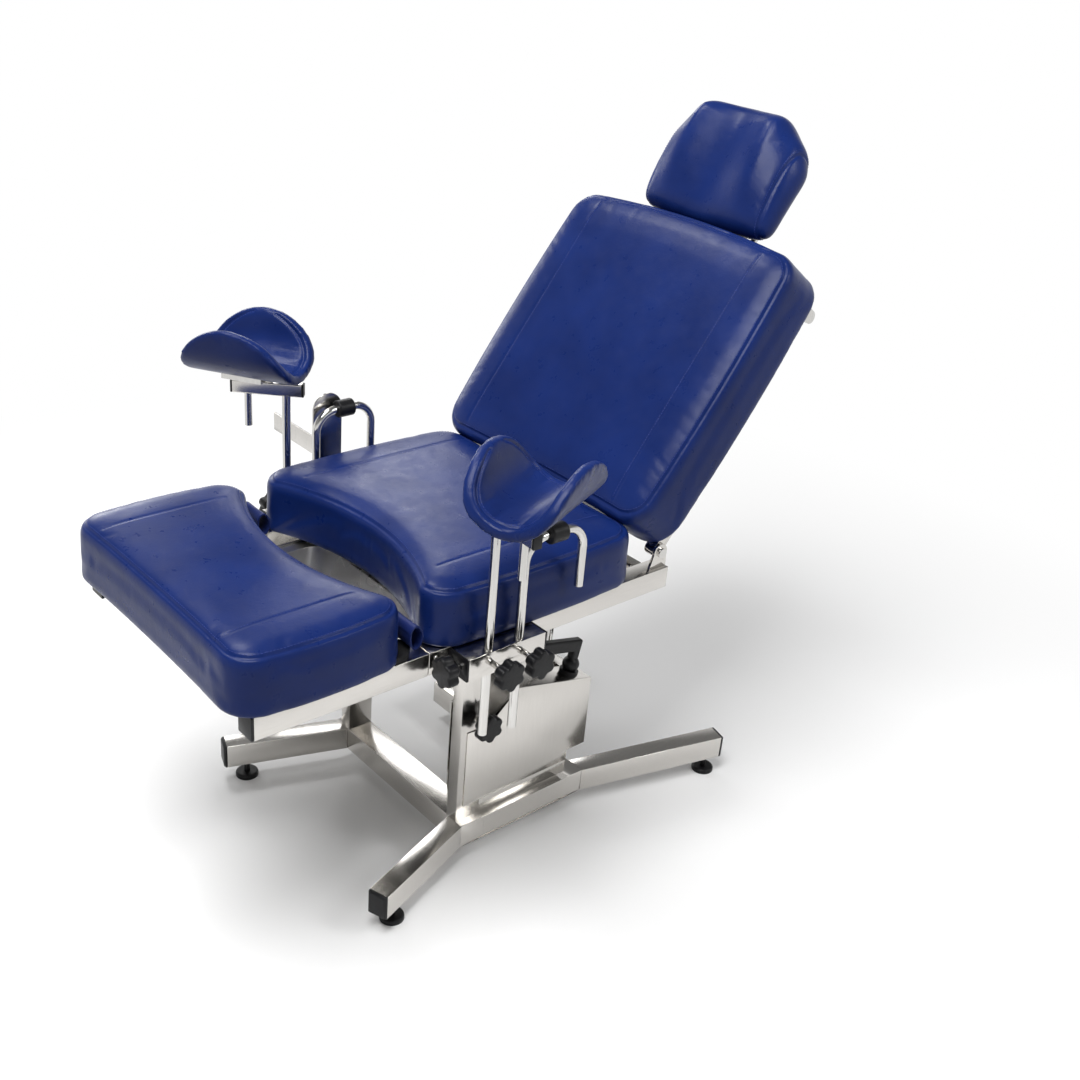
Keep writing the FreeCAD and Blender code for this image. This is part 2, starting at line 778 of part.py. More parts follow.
def basin_parts():
    """Pressed basin with a flat rim, and the two angle runners that carry it."""
    low_z = basin_rim_z - basin_depth
    step = basin_corner * 0.6

    def shell(inset):
        taper = basin_taper
        rings = [
            rounded_rect(basin_half_width - taper - step - inset, basin_front_y + taper + step + inset,
                         basin_rear_y - taper - step - inset, basin_corner - inset, low_z + inset),
            rounded_rect(basin_half_width - taper - inset, basin_front_y + taper + inset,
                         basin_rear_y - taper - inset, basin_corner - inset, low_z + step),
            rounded_rect(basin_half_width - inset, basin_front_y + inset, basin_rear_y - inset,
                         basin_corner - inset, basin_rim_z),
        ]
        return Part.makeLoft(rings, True, True)

    rim_wire = rounded_rect(basin_half_width + basin_rim_width, basin_front_y - basin_wall * 4,
                            basin_rear_y + basin_wall * 4, basin_corner, basin_rim_z - basin_wall)
    rim = Part.Face(rim_wire).extrude(Vec(0, 0, basin_wall))
    basin = shell(0).fuse(rim).removeSplitter().cut(shell(basin_wall))
    mouth = rounded_rect(basin_half_width - basin_wall, basin_front_y + basin_wall, basin_rear_y - basin_wall,
                         basin_corner - basin_wall, basin_rim_z - basin_wall)
    basin = basin.cut(Part.Face(mouth).extrude(Vec(0, 0, basin_wall * 4)))
    lip_z = basin_rim_z - basin_wall - slide_play
    inner_x = basin_half_width + basin_rim_width * 0.4
    outer_x = basin_half_width + basin_rim_width + slide_play
    lip = box(inner_x, outer_x + runner_wall, runner_front_y, front_member_y, lip_z - runner_wall, lip_z)
    wall = box(outer_x, outer_x + runner_wall, runner_front_y, front_member_y,
               lip_z - runner_wall, lip_z + runner_size / 3)
    runner = lip.fuse(wall).removeSplitter()
    return {"basin": [basin], "basin_runners": both_sides(runner)}


# leg section

def leg_parts():
    """Rails with spigots, cross bars, caps, board, cushion and leatherette loops."""
    rail = tube(rail_inner_x, rail_outer_x, leg_rail_front_y, leg_seam_y,
                rail_bottom, rail_top, rail_wall, "y")
    inset = rail_wall + slide_play
    spigot = box(rail_inner_x + inset, rail_outer_x - inset, leg_seam_y - spigot_length / 3,
                 leg_seam_y + spigot_length, rail_bottom + inset, rail_top - inset)
    plug = box(rail_inner_x + rail_wall, rail_outer_x - rail_wall, leg_seam_y - spigot_length / 3,
               leg_seam_y, rail_bottom + rail_wall, rail_top - rail_wall)
    rail = rail.fuse([spigot, plug]).removeSplitter()
    cap = box(rail_inner_x, rail_outer_x, leg_rail_front_y - rail_cap_thickness, leg_rail_front_y,
              rail_bottom, rail_top)
    cap = round_edges(cap, rail_cap_thickness * 0.45, edge_along(Vec(0, 1, 0)))
    bars = []
    bar_low = rail_top - member_height * 0.3
    for y in (leg_rail_front_y + member_depth, basin_front_y - member_depth * 2):
        bars.append(box(-rail_inner_x, rail_inner_x, y, y + member_depth, bar_low, rail_top))
    wire = pad_outline(cushion_half_width, leg_front_y, leg_seam_y - seam_gap, corner_radius,
                       end_draw, leg_cut_depth * 2, board_inset, rail_top)
    board = Part.Face(wire).extrude(Vec(0, 0, board_thickness))
    cushion = pad(cushion_half_width, leg_front_y, leg_rear_y, corner_radius, end_draw,
                  leg_cut_depth, side_height + skirt, cushion_height + skirt)
    cushion = lifted(cushion, board_top - skirt).cut(board)
    return {
        "leg_rails": both_sides(rail),
        "leg_rail_caps": both_sides(cap),
        "leg_cross_bars": bars,
        "leg_board": [board],
        "leg_cushion": [cushion],
        "leatherette_loops": both_sides(leatherette_loop()),
    }


def leatherette_loop():
    """Flat oval band standing on the rear corner of the leg board."""
    mid_y = (leg_rear_y + leg_seam_y) / 2 - seam_gap
    x1 = loop_outer_x

    def oval(inset):
        half = loop_width / 2 - inset
        low = board_top + inset
        high = board_top + loop_height - inset
        x0 = x1 - loop_length

        def at(y, z):
            return Vec(x0, mid_y + y, z)

        edges = [
            line(at(half, low + half), at(half, high - half)),
            arc(at(half, high - half), at(0, high), at(-half, high - half)),
            line(at(-half, high - half), at(-half, low + half)),
            arc(at(-half, low + half), at(0, low), at(half, low + half)),
        ]
        return Part.Face(Part.Wire(edges)).extrude(Vec(loop_length, 0, 0))

    return oval(0).cut(oval(loop_wall))


# hand grips and leg holders

def grip_parts(side):
    """Hand grip: rod bent into a loop, with a collar on its top."""
    y0 = grip_rod_y
    y1 = grip_rod_y + grip_reach
    shoulder = grip_top_z - grip_bend
    slack = grip_bend * (1 - math.sqrt(0.5))

    def at(y, z):
        return Vec(rod_x, y, z)

    path = Part.Wire([
        line(at(y0, grip_bottom), at(y0, shoulder)),
        arc(at(y0, shoulder), at(y0 + slack, grip_top_z - slack), at(y0 + grip_bend, grip_top_z)),
        line(at(y0 + grip_bend, grip_top_z), at(y1 - grip_bend, grip_top_z)),
        arc(at(y1 - grip_bend, grip_top_z), at(y1 - slack, grip_top_z - slack), at(y1, shoulder)),
        line(at(y1, shoulder), at(y1, grip_free_end_z)),
    ])
    ring = Part.Wire(Part.makeCircle(rod_radius, at(y0, grip_bottom), Vec(0, 0, 1)))
    bent = path.makePipeShell([ring], True, False)
    middle = (y0 + y1) / 2
    half = grip_collar_length / 2
    collar = rod(at(middle - half, grip_top_z), at(middle + half, grip_top_z), grip_collar_radius)
    ends = [e for e in collar.Edges if len(e.Vertexes) == 1]
    collar = collar.makeFillet(grip_collar_radius * 0.2, ends)
    collar = collar.cut(rod(at(y0, grip_top_z), at(y1, grip_top_z), rod_radius + running_play))
    return mirrored(bent, side), mirrored(collar, side)


def cradle_solid():
    """Padded trough for the leg: curved across, with rounded lobes, lying on Z = 0."""
    half_angle = math.radians(cradle_half_angle_deg)
    centre = cradle_outer_radius
    climb = (cradle_height - centre + cradle_outer_radius * math.cos(half_angle)) / math.sin(half_angle)

    def at(radius, angle):
        return Vec(radius * math.sin(angle), 0, centre - radius * math.cos(angle))

    def up(point, side):
        return point + Vec(side * climb * math.cos(half_angle), 0, climb * math.sin(half_angle))

    outer = [at(cradle_outer_radius, turn) for turn in (-half_angle, 0, half_angle)]
    inner = [at(cradle_inner_radius, turn) for turn in (half_angle, 0, -half_angle)]
    edges = [
        arc(outer[0], outer[1], outer[2]),
        line(outer[2], up(outer[2], 1)),
        line(up(outer[2], 1), up(inner[0], 1)),
        line(up(inner[0], 1), inner[0]),
        arc(inner[0], inner[1], inner[2]),
        line(inner[2], up(inner[2], -1)),
        line(up(inner[2], -1), up(outer[0], -1)),
        line(up(outer[0], -1), outer[0]),
    ]
    trough = Part.Face(Part.Wire(edges)).extrude(Vec(0, cradle_length, 0))
    trough.translate(Vec(0, -cradle_length / 2, 0))
    half = cradle_length / 2

    def side_view(y, z):
        return Vec(-cradle_outer_radius * 2, y, z)

    outline = Part.Wire([
        line(side_view(-half, -cradle_wall), side_view(half, -cradle_wall)),
        line(side_view(half, -cradle_wall), side_view(half, cradle_shoulder)),
        arc(side_view(half, cradle_shoulder), side_view(0, cradle_height), side_view(-half, cradle_shoulder)),
        line(side_view(-half, cradle_shoulder), side_view(-half, -cradle_wall)),
    ])
    lobes = Part.Face(outline).extrude(Vec(cradle_outer_radius * 4, 0, 0))
    return trough.common(lobes)


def holder_solids(turn_deg, ahead):
    """One leg holder in its own frame: rod axis on Z, bar along +X. Real heights."""
    pole = Part.makeCylinder(rod_radius, bar_bottom + bar_socket_depth - slide_play - holder_rod_bottom,
                             Vec(0, 0, holder_rod_bottom))
    bar = box(-bar_behind_rod, bar_length, -bar_width / 2, bar_width / 2, bar_bottom, bar_top)
    bar = round_edges(bar, bar_width * 0.15, edge_along(Vec(1, 0, 0)))
    bar = bar.cut(Part.makeCylinder(rod_radius + running_play, bar_socket_depth, Vec(0, 0, bar_bottom)))
    stem_foot = Vec(stem_offset, 0, bar_bottom - stem_hang)
    stem_length = saddle_plate_z - stem_foot.z
    bar = bar.cut(Part.makeCylinder(stem_radius + running_play, stem_length, stem_foot))
    caps = []
    for x, way in ((-bar_behind_rod, -1), (bar_length, 1)):
        cap = box(x, x + way * bar_cap_thickness, -bar_width / 2, bar_width / 2, bar_bottom, bar_top)
        caps.append(round_edges(cap, bar_width * 0.15, edge_along(Vec(1, 0, 0))))
    stem = Part.makeCylinder(stem_radius, stem_length, stem_foot)
    flange_foot = Vec(stem_offset, 0, saddle_plate_z - stem_flange_height)
    flange = Part.makeCylinder(stem_flange_radius, stem_flange_height, flange_foot)
    half_x = saddle_plate_length / 2
    half_y = saddle_plate_width / 2
    plate = box(-half_x, half_x, -half_y, half_y, saddle_plate_z, cradle_bottom + cradle_wall / 2)
    hollow_start = Vec(0, -half_y * 2, cradle_bottom + cradle_outer_radius)
    hollow = Part.makeCylinder(cradle_outer_radius, cradle_length, hollow_start, Vec(0, 1, 0))
    plate = plate.cut(hollow)
    cradle = lifted(cradle_solid(), cradle_bottom)
    cradle.translate(Vec(0, ahead, 0))
    for solid in (plate, cradle):
        solid.rotate(Vec(0, 0, 0), Vec(0, 0, 1), turn_deg)
        solid.translate(Vec(stem_offset, 0, 0))
    saddle = stem.fuse([flange, plate]).removeSplitter()
    return {"rod": [pole], "bar": [bar], "bar_caps": caps, "saddle": [saddle], "cradle": [cradle]}


def holder_parts():
    """Both leg holders, turned to where they stand, and both hand grips."""
    parts = {}
    settings = (
        (1, "right", right_swivel_deg, right_cradle_turn_deg, right_cradle_ahead),
        (-1, "left", left_swivel_deg, left_cradle_turn_deg, left_cradle_ahead),
    )
    for side, word, swivel, turn, ahead in settings:
        for name, solids in holder_solids(turn, ahead).items():
            placed = []
            for solid in solids:
                turned = solid.copy()
                turned.rotate(Vec(0, 0, 0), Vec(0, 0, 1), -swivel)
                turned.translate(Vec(rod_x, holder_rod_y, 0))
                placed.append(mirrored(turned, side))
            parts["holder_" + name + "_" + word] = placed
        bent, collar = grip_parts(side)
        parts["hand_grip_" + word] = [bent]
        parts["grip_collar_" + word] = [collar]
    parts["side_bracket"] = [side_bracket()]
    return parts


def side_bracket():
    """Flat plate with a round top on the left clamp block, with a flat arm reaching out sideways."""
    x0 = -block_outer_x
    x1 = x0 - bracket_gap
    x2 = x1 - bracket_thickness
    rear_y = bracket_front_y + bracket_width
    round_z = bracket_top_z - bracket_width / 2
    middle = (bracket_front_y + rear_y) / 2

    def at(y, z):
        return Vec(x2, y, z)

    outline = Part.Wire([
        line(at(bracket_foot_y, block_bottom), at(rear_y, block_bottom)),
        line(at(rear_y, block_bottom), at(rear_y, round_z)),
        arc(at(rear_y, round_z), at(middle, bracket_top_z), at(bracket_front_y, round_z)),
        line(at(bracket_front_y, round_z), at(bracket_front_y, bracket_neck_z)),
        line(at(bracket_front_y, bracket_neck_z), at(bracket_foot_y, block_bottom + block_height)),
        line(at(bracket_foot_y, block_bottom + block_height), at(bracket_foot_y, block_bottom)),
    ])
    plate = Part.Face(outline).extrude(Vec(bracket_thickness, 0, 0))
    spacer = box(x0, x1, bracket_foot_y, block_rear_y, block_bottom, block_bottom + block_height)
    arm = box(x2, x2 - bracket_arm_length, bracket_front_y, bracket_front_y + bracket_thickness,
              bracket_arm_top_z - bracket_arm_height, bracket_arm_top_z)
    return plate.fuse([spacer, arm]).removeSplitter()


# back section and headrest

def back_placement(along, depth):
    """Frame of the back: X across, Y up along the back, Z out of its front face."""
    lean = FreeCAD.Rotation(Vec(1, 0, 0), back_angle_deg)
    seam = Vec(0, back_seam_y, back_seam_z)
    return FreeCAD.Placement(seam + lean.multVec(Vec(0, along, -depth)), lean)


def on_back(shape):
    """Move a shape drawn in the back's frame to where the back stands."""
    moved = shape.copy()
    moved.Placement = back_placement(0, 0).multiply(moved.Placement)
    return moved


def back_pivot():
    """Axis point of the back hinge in the middle plane."""
    return back_placement(back_pivot_along, back_bar_middle).Base


def back_parts():
    """Side bars, members, board, cushion, headrest guides and the paper roll holder."""
    bar_front = -(back_board_front + board_thickness)
    bar_rear = bar_front - back_bar_size
    bar_x = rail_inner_x + back_bar_size
    bar = box(rail_inner_x, bar_x, back_pivot_along, back_bar_end, bar_rear, bar_front)
    pivot = Vec(rail_inner_x, back_pivot_along, -back_bar_middle)
    across = Vec(back_bar_size, 0, 0)
    bar = bar.fuse(rod(pivot, pivot + across, back_bar_size / 2)).removeSplitter()
    bar = bar.cut(rod(pivot - across, pivot + across * 2, hinge_pin_radius + running_play))
    members = []
    for low in (back_low_member, back_high_member):
        member = box(-rail_inner_x, rail_inner_x, low, low + back_bar_size, bar_rear + tube_wall, bar_front)
        members.append(member)
    wire = pad_outline(back_half_width, back_low, back_high, back_corner, end_draw, -back_top_swell,
                       board_inset, bar_front)
    board = Part.Face(wire).extrude(Vec(0, 0, board_thickness))
    cushion = pad(back_half_width, back_low, back_high, back_corner, end_draw, -back_top_swell,
                  back_side_height + back_skirt, back_height + back_skirt)
    cushion = lifted(cushion, -back_board_front - back_skirt).cut(board)
    guides = []
    for side in sides:
        x = side * post_offset
        guide = box(x - guide_size / 2, x + guide_size / 2, guide_low, guide_low + guide_length,
                    bar_front - guide_size, bar_front)
        hole = rod(Vec(x, post_low, -back_bar_middle), Vec(x, back_high * 2, -back_bar_middle),
                   post_radius + running_play)
        guides.append(guide.cut(hole))
    holder = roll_holder(bar_front)
    return {
        "back_side_bars": [on_back(s) for s in both_sides(bar)],
        "back_members": [on_back(s) for s in members],
        "back_board": [on_back(board)],
        "back_cushion": [on_back(cushion)],
        "headrest_guides": [on_back(s) for s in guides],
        "paper_roll_holder": [on_back(holder)],
    }


def roll_holder(bar_front):
    """Two arms behind the back board with a round bar between them."""
    reach = bar_front - roll_reach
    holder = rod(Vec(-roll_arm_x, roll_along, reach), Vec(roll_arm_x, roll_along, reach), roll_bar_radius)
    for side in sides:
        x0 = side * roll_arm_x
        x1 = x0 + side * roll_arm_thickness
        arm = box(x0, x1, roll_along - roll_arm_width / 2, roll_along + roll_arm_width / 2, reach, bar_front)
        tip = rod(Vec(x0, roll_along, reach), Vec(x1, roll_along, reach), roll_arm_width / 2)
        holder = holder.fuse([arm, tip])
    return holder.removeSplitter()


def back_hinge_parts():
    """Bearing plates on the seat rails and their hinge pins."""
    pivot = back_pivot()
    x0 = rail_inner_x + back_bar_size + hinge_plate_gap
    x1 = x0 + hinge_plate_thickness
    foot_y0 = seat_rail_end_y - hinge_plate_length
    points = [
        Vec(x0, foot_y0, rail_top),
        Vec(x0, seat_rail_end_y, rail_top),
        Vec(x0, pivot.y + hinge_plate_radius * 0.94, pivot.z),
        Vec(x0, pivot.y - hinge_plate_radius * 0.94, pivot.z),
    ]
    plate = prism(points, Vec(hinge_plate_thickness, 0, 0))
    boss = rod(Vec(x0, pivot.y, pivot.z), Vec(x1, pivot.y, pivot.z), hinge_plate_radius)
    plate = plate.fuse(boss).removeSplitter()
    pin_hole = rod(Vec(0, pivot.y, pivot.z), Vec(x1 * 2, pivot.y, pivot.z), hinge_pin_radius + running_play)
    plate = plate.cut(pin_hole)
    pin_end = x1 + hinge_plate_thickness
    pin = rod(Vec(rail_inner_x, pivot.y, pivot.z), Vec(pin_end, pivot.y, pivot.z), hinge_pin_radius)
    head = rod(Vec(x1, pivot.y, pivot.z), Vec(pin_end, pivot.y, pivot.z), hinge_pin_radius * 1.6)
    return {
        "back_hinge_plates": both_sides(plate),
        "back_hinge_pins": both_sides(pin.fuse(head).removeSplitter()),
    }


def headrest_placement():
    """Frame of the headrest inside the back's frame, on the back face of its board."""
    return FreeCAD.Placement(Vec(0, head_low, -head_back_depth), FreeCAD.Rotation())


def head_profile(x, low, high, low_share, high_share):
    """Side profile of the headrest cushion at one place across: a wedge, thicker towards the top."""
    z0 = head_board_thickness + head_side_roll * (1 - low_share)
    low_z = head_board_thickness + head_low_thickness * low_share
    high_z = head_board_thickness + head_high_thickness * high_share
    roll = head_roll * low_share
    back_low_edge = Vec(x, low + roll, z0)
    back_high_edge = Vec(x, high - head_back_roll * high_share, z0)
    front_low = Vec(x, low + roll, low_z)
    front_high = Vec(x, high - roll, high_z)
    edges = [
        line(back_low_edge, back_high_edge),
        arc(back_high_edge, Vec(x, high, (z0 + high_z) / 2), front_high),
        arc(front_high, Vec(x, (low + high) / 2, (low_z + high_z + roll) / 2), front_low),
        arc(front_low, Vec(x, low, (z0 + low_z) / 2), back_low_edge),
    ]
    return Part.Wire(edges)


def headrest_parts():
    """Posts with their plate, board and the cushion with two lobes and a hollow between them."""
    posts = []
    for side in sides:
        x = side * post_offset
        foot = Vec(x, post_low, -back_bar_middle)
        posts.append(rod(foot, Vec(x, head_plate_along, -back_bar_middle), post_radius))
    plate_reach = post_offset + guide_size / 2
    plate = box(-plate_reach, plate_reach, head_plate_along - head_plate_thickness, head_plate_along,
                -back_bar_middle - guide_size / 2, 0)
    place = headrest_placement()
    ahead = box(-head_half_width * 2, head_half_width * 2, -head_length * 2, head_length * 3,
                0, head_length * 4)
    ahead.Placement = place
    carrier = posts[0].fuse([posts[1], plate.cut(ahead)]).removeSplitter()
    stations = [(-station[0],) + station[1:] for station in head_stations]
    stations.append(head_trough)
    stations += reversed(head_stations)
    rings = []
    for x, low, high, low_share, high_share in stations:
        rings.append(head_profile(x * head_half_width, head_length * low, head_length * (1 - high),
                                  low_share, high_share))
    cushion = Part.makeLoft(rings, True, True)
    cushion.Placement = place
    edge = head_board_inset
    wire = rounded_rect(head_half_width - edge, edge, head_length - edge, corner_radius / 2, 0)
    board = Part.Face(wire).extrude(Vec(0, 0, head_board_thickness))
    board.Placement = place
    return {
        "headrest_posts": [on_back(carrier)],
        "headrest_board": [on_back(board)],
        "headrest_cushion": [on_back(cushion)],
    }


def all_parts():
    """Every node of the chair with its solids, drawn from the line of the front feet."""
    parts = {}
    for group in (base_parts, housing_parts, lever_part, knob_parts, seat_frame_parts,
                  seat_soft_parts, block_parts, basin_parts, leg_parts, holder_parts, back_parts,
                  back_hinge_parts, headrest_parts):
        parts.update(group())
    return parts


def middle_y(parts):
    """Middle of the chair's box along Y."""
    boxes = [solid.BoundBox for solids in parts.values() for solid in solids]
    return (min(b.YMin for b in boxes) + max(b.YMax for b in boxes)) / 2


def main():
    """Build every node and write it to its own file."""
    os.makedirs("parts", exist_ok=True)
    parts = all_parts()
    shift = Vec(0, -middle_y(parts), 0)
    for name, solids in parts.items():
        moved = [solid.translated(shift) for solid in solids]
        shape = moved[0] if len(moved) == 1 else Part.makeCompound(moved)
        shape.exportStep(os.path.join("parts", name + ".step"))
        bad = [s for s in moved if not s.isValid() or len(s.Solids) != 1]
        volume = round(sum(s.Volume for s in moved) / 1000, 1)
        print(name, len(moved), "solids", volume, "cm3", "BAD" if bad else "")
    print("nodes", len(parts), "shift", round(shift.y, 3))


if __name__ == "__main__":
    main()
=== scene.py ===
"""Looks of the gynecological chair: leatherette padding, steel tubes, plastic knobs and a plain studio."""
import json
import math

import bpy
from mathutils import Matrix, Vector
from mathutils.bvhtree import BVHTree
from mathutils.kdtree import KDTree

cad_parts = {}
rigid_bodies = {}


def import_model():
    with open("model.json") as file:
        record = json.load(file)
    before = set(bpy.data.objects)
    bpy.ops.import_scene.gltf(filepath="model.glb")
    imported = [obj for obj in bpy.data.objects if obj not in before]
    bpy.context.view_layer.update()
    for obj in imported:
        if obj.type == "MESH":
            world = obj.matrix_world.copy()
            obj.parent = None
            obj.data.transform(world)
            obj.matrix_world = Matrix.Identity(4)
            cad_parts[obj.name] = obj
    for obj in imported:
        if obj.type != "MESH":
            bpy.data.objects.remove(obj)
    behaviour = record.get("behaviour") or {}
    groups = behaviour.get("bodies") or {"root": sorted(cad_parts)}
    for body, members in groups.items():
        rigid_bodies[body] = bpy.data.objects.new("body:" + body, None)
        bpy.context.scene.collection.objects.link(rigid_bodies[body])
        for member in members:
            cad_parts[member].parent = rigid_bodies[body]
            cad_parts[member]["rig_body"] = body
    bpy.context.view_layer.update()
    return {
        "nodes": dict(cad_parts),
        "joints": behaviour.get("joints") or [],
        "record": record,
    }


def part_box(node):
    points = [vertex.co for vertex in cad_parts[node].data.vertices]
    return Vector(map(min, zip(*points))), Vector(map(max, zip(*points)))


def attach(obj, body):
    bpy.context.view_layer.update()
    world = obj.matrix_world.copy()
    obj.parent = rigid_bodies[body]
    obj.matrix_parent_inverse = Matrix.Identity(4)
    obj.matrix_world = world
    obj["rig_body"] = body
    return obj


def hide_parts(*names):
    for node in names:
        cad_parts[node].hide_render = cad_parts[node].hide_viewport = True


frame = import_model()
nodes = frame["nodes"]
slot_of = {entry["node"]: entry["material_slot"] for entry in frame["record"]["subparts"]}
joint_of = {joint["name"]: joint for joint in frame["joints"]}
scene = bpy.context.scene

# sizes in metres; lengths along the chair are counted from the line of the front feet
FEET_LINE_Y = -0.362023
BOARD_TOP = 0.568
BACK_LEAN = math.radians(53.0)
BACK_SEAM = (0.0, 0.533, 0.714)
HEAD_PLACE = (0.0, 0.529, -0.075)
ROD_X = 0.316
HOLDER_ROD_Y = 0.134
STEM_OFFSET = 0.072
CRADLE_FOOT = 0.8233
CRADLE_RADIUS = 0.064
CRADLE_WALL = 0.020
CRADLE_HALF_LENGTH = 0.109
CRADLE_HEIGHT = 0.108
CRADLE_SHOULDER = 0.024
CRADLE_HALF_ANGLE = math.radians(78.0)
STITCH_PITCH = 0.0056
STITCH_LENGTH = 0.0040
STITCH_THICKNESS = 0.0009

chair_place = Matrix.Translation((0.0, FEET_LINE_Y, 0.0))
seat_place = chair_place @ Matrix.Translation((0.0, 0.0, BOARD_TOP))
back_place = chair_place @ Matrix.Translation(BACK_SEAM) @ Matrix.Rotation(BACK_LEAN, 4, "X")
head_place = back_place @ Matrix.Translation(HEAD_PLACE)


# ---------------------------------------------------------------- picking and copying

def leave_edit():
    """Back to object mode with nothing picked."""
    if bpy.context.object and bpy.context.object.mode != "OBJECT":
        bpy.ops.object.mode_set(mode="OBJECT")
    bpy.ops.object.select_all(action="DESELECT")


def take(piece):
    """Pick one piece and nothing else."""
    leave_edit()
    piece.select_set(True)
    bpy.context.view_layer.objects.active = piece
    return piece


def edit_all(piece):
    """Edit mode with the whole piece picked."""
    take(piece)
    bpy.ops.object.mode_set(mode="EDIT")
    bpy.ops.mesh.select_all(action="SELECT")


def copy_of(node, name):
    """Own piece in the shape of a CAD node, with its loose triangles joined up."""
    mesh = nodes[node].data.copy()
    mesh.materials.clear()
    piece = bpy.data.objects.new(name, mesh)
    scene.collection.objects.link(piece)
    edit_all(piece)
    bpy.ops.mesh.customdata_custom_splitnormals_clear()
    bpy.ops.mesh.remove_doubles(threshold=0.00002)
    leave_edit()
    return piece


def use_modifier(piece, kind, **settings):
    """Add a modifier, set it up and apply it."""
    take(piece)
    modifier = piece.modifiers.new("work", kind)
    for key, value in settings.items():
        setattr(modifier, key, value)
    bpy.ops.object.modifier_apply(modifier=modifier.name)


def round_edges(piece, width, steps=2, degrees=50.0):
    """Round off the edges where faces meet at more than an angle."""
    use_modifier(piece, "BEVEL", width=width, segments=steps, limit_method="ANGLE",
                 angle_limit=math.radians(degrees))


def smooth(piece, degrees=35.0):
    """Smooth shading, sharp where faces meet at more than an angle."""
    take(piece)
    bpy.ops.object.shade_smooth_by_angle(angle=math.radians(degrees))
    leave_edit()


def dress(piece, *finishes):
    """Give a piece its materials."""
    piece.data.materials.clear()
    for finish in finishes:
        piece.data.materials.append(finish)


def stand_for(piece, node):
    """The piece rides where a CAD node rides and is shown instead of it."""
    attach(piece, nodes[node]["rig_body"])
    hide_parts(node)


# ---------------------------------------------------------------- finishes

def new_finish(name):
    """Empty node material with its shader."""
    finish = bpy.data.materials.new(name)
    finish.use_nodes = True
    tree = finish.node_tree
    shader = tree.nodes["Principled BSDF"]
    return finish, tree, shader


def add(tree, kind, **inputs):
    """Node with some of its sockets set by name."""
    node = tree.nodes.new(kind)
    for key, value in inputs.items():
        node.inputs[key.replace("_", " ")].default_value = value
    return node


def place_texture(tree, scale=(1, 1, 1)):
    """Object coordinates through a mapping."""
    coords = tree.nodes.new("ShaderNodeTexCoord")
    mapping = tree.nodes.new("ShaderNodeMapping")
    mapping.inputs["Scale"].default_value = scale
    tree.links.new(coords.outputs["Object"], mapping.inputs["Vector"])
    return mapping.outputs["Vector"]


def noise(tree, vector, scale, detail=3.0, rough=0.5):
    """Cloudy pattern."""
    node = add(tree, "ShaderNodeTexNoise", Scale=scale, Detail=detail, Roughness=rough)
    tree.links.new(vector, node.inputs["Vector"])
    return node.outputs["Fac"]


def ramp(tree, value, *stops):
    """Colours along a value, from (place, colour) pairs."""
    node = tree.nodes.new("ShaderNodeValToRGB")
    band = node.color_ramp
    while len(band.elements) < len(stops):
        band.elements.new(0.5)
    for element, (place, colour) in zip(band.elements, stops):
        element.position = place
        element.color = (*colour, 1.0)
    tree.links.new(value, node.inputs["Fac"])
    return node.outputs["Color"]


def span(tree, value, low, high, start=0.3, end=0.7):
    """A pattern's value stretched between two numbers."""
    node = add(tree, "ShaderNodeMapRange", From_Min=start, From_Max=end, To_Min=low, To_Max=high)
    tree.links.new(value, node.inputs["Value"])
    return node.outputs["Result"]


def raise_by(tree, height, distance, strength, under=None):
    """Bump from a pattern, on top of another one."""
    node = add(tree, "ShaderNodeBump", Strength=strength, Distance=distance)
    tree.links.new(height, node.inputs["Height"])
    if under is not None:
        tree.links.new(under, node.inputs["Normal"])
    return node.outputs["Normal"]


def leatherette(name, deep, light, rough_low, rough_high):
    """Satin leatherette: pebbled grain, faint creases and cloudy colour."""
    finish, tree, shader = new_finish(name)
    vector = place_texture(tree)
    cloud = noise(tree, vector, scale=9.0, detail=4.0)
    tree.links.new(ramp(tree, cloud, (0.30, deep), (0.72, light)), shader.inputs["Base Color"])
    rub = noise(tree, vector, scale=38.0, detail=5.0, rough=0.6)
    tree.links.new(span(tree, rub, rough_low, rough_high), shader.inputs["Roughness"])
    grain = add(tree, "ShaderNodeTexVoronoi", Scale=620.0, Randomness=1.0)
    grain.feature = "SMOOTH_F1"
    tree.links.new(vector, grain.inputs["Vector"])
    crease = noise(tree, vector, scale=150.0, detail=6.0, rough=0.62)
    waves = noise(tree, vector, scale=26.0, detail=3.0)
    soft = raise_by(tree, waves, distance=0.004, strength=0.10)
    creased = raise_by(tree, crease, distance=0.0012, strength=0.14, under=soft)
    pebbled = raise_by(tree, grain.outputs["Distance"], distance=0.0006, strength=0.16, under=creased)
    tree.links.new(pebbled, shader.inputs["Normal"])
    shader.inputs["Specular IOR Level"].default_value = 0.16
    return finish


def brushed_steel(name, stretch, dark, light, rough_low, rough_high):
    """Ground and polished stainless steel with its scratches along one way."""
    finish, tree, shader = new_finish(name)
    along = place_texture(tree, stretch)
    plain = place_texture(tree)
    lines = noise(tree, along, scale=620.0, detail=3.0, rough=0.6)
    smear = noise(tree, plain, scale=7.0, detail=3.0)
    tree.links.new(ramp(tree, lines, (0.25, dark), (0.75, light)), shader.inputs["Base Color"])
    tree.links.new(span(tree, smear, rough_low, rough_high), shader.inputs["Roughness"])
    scratched = raise_by(tree, lines, distance=0.0001, strength=0.06)
    tree.links.new(scratched, shader.inputs["Normal"])
    shader.inputs["Metallic"].default_value = 1.0
    return finish


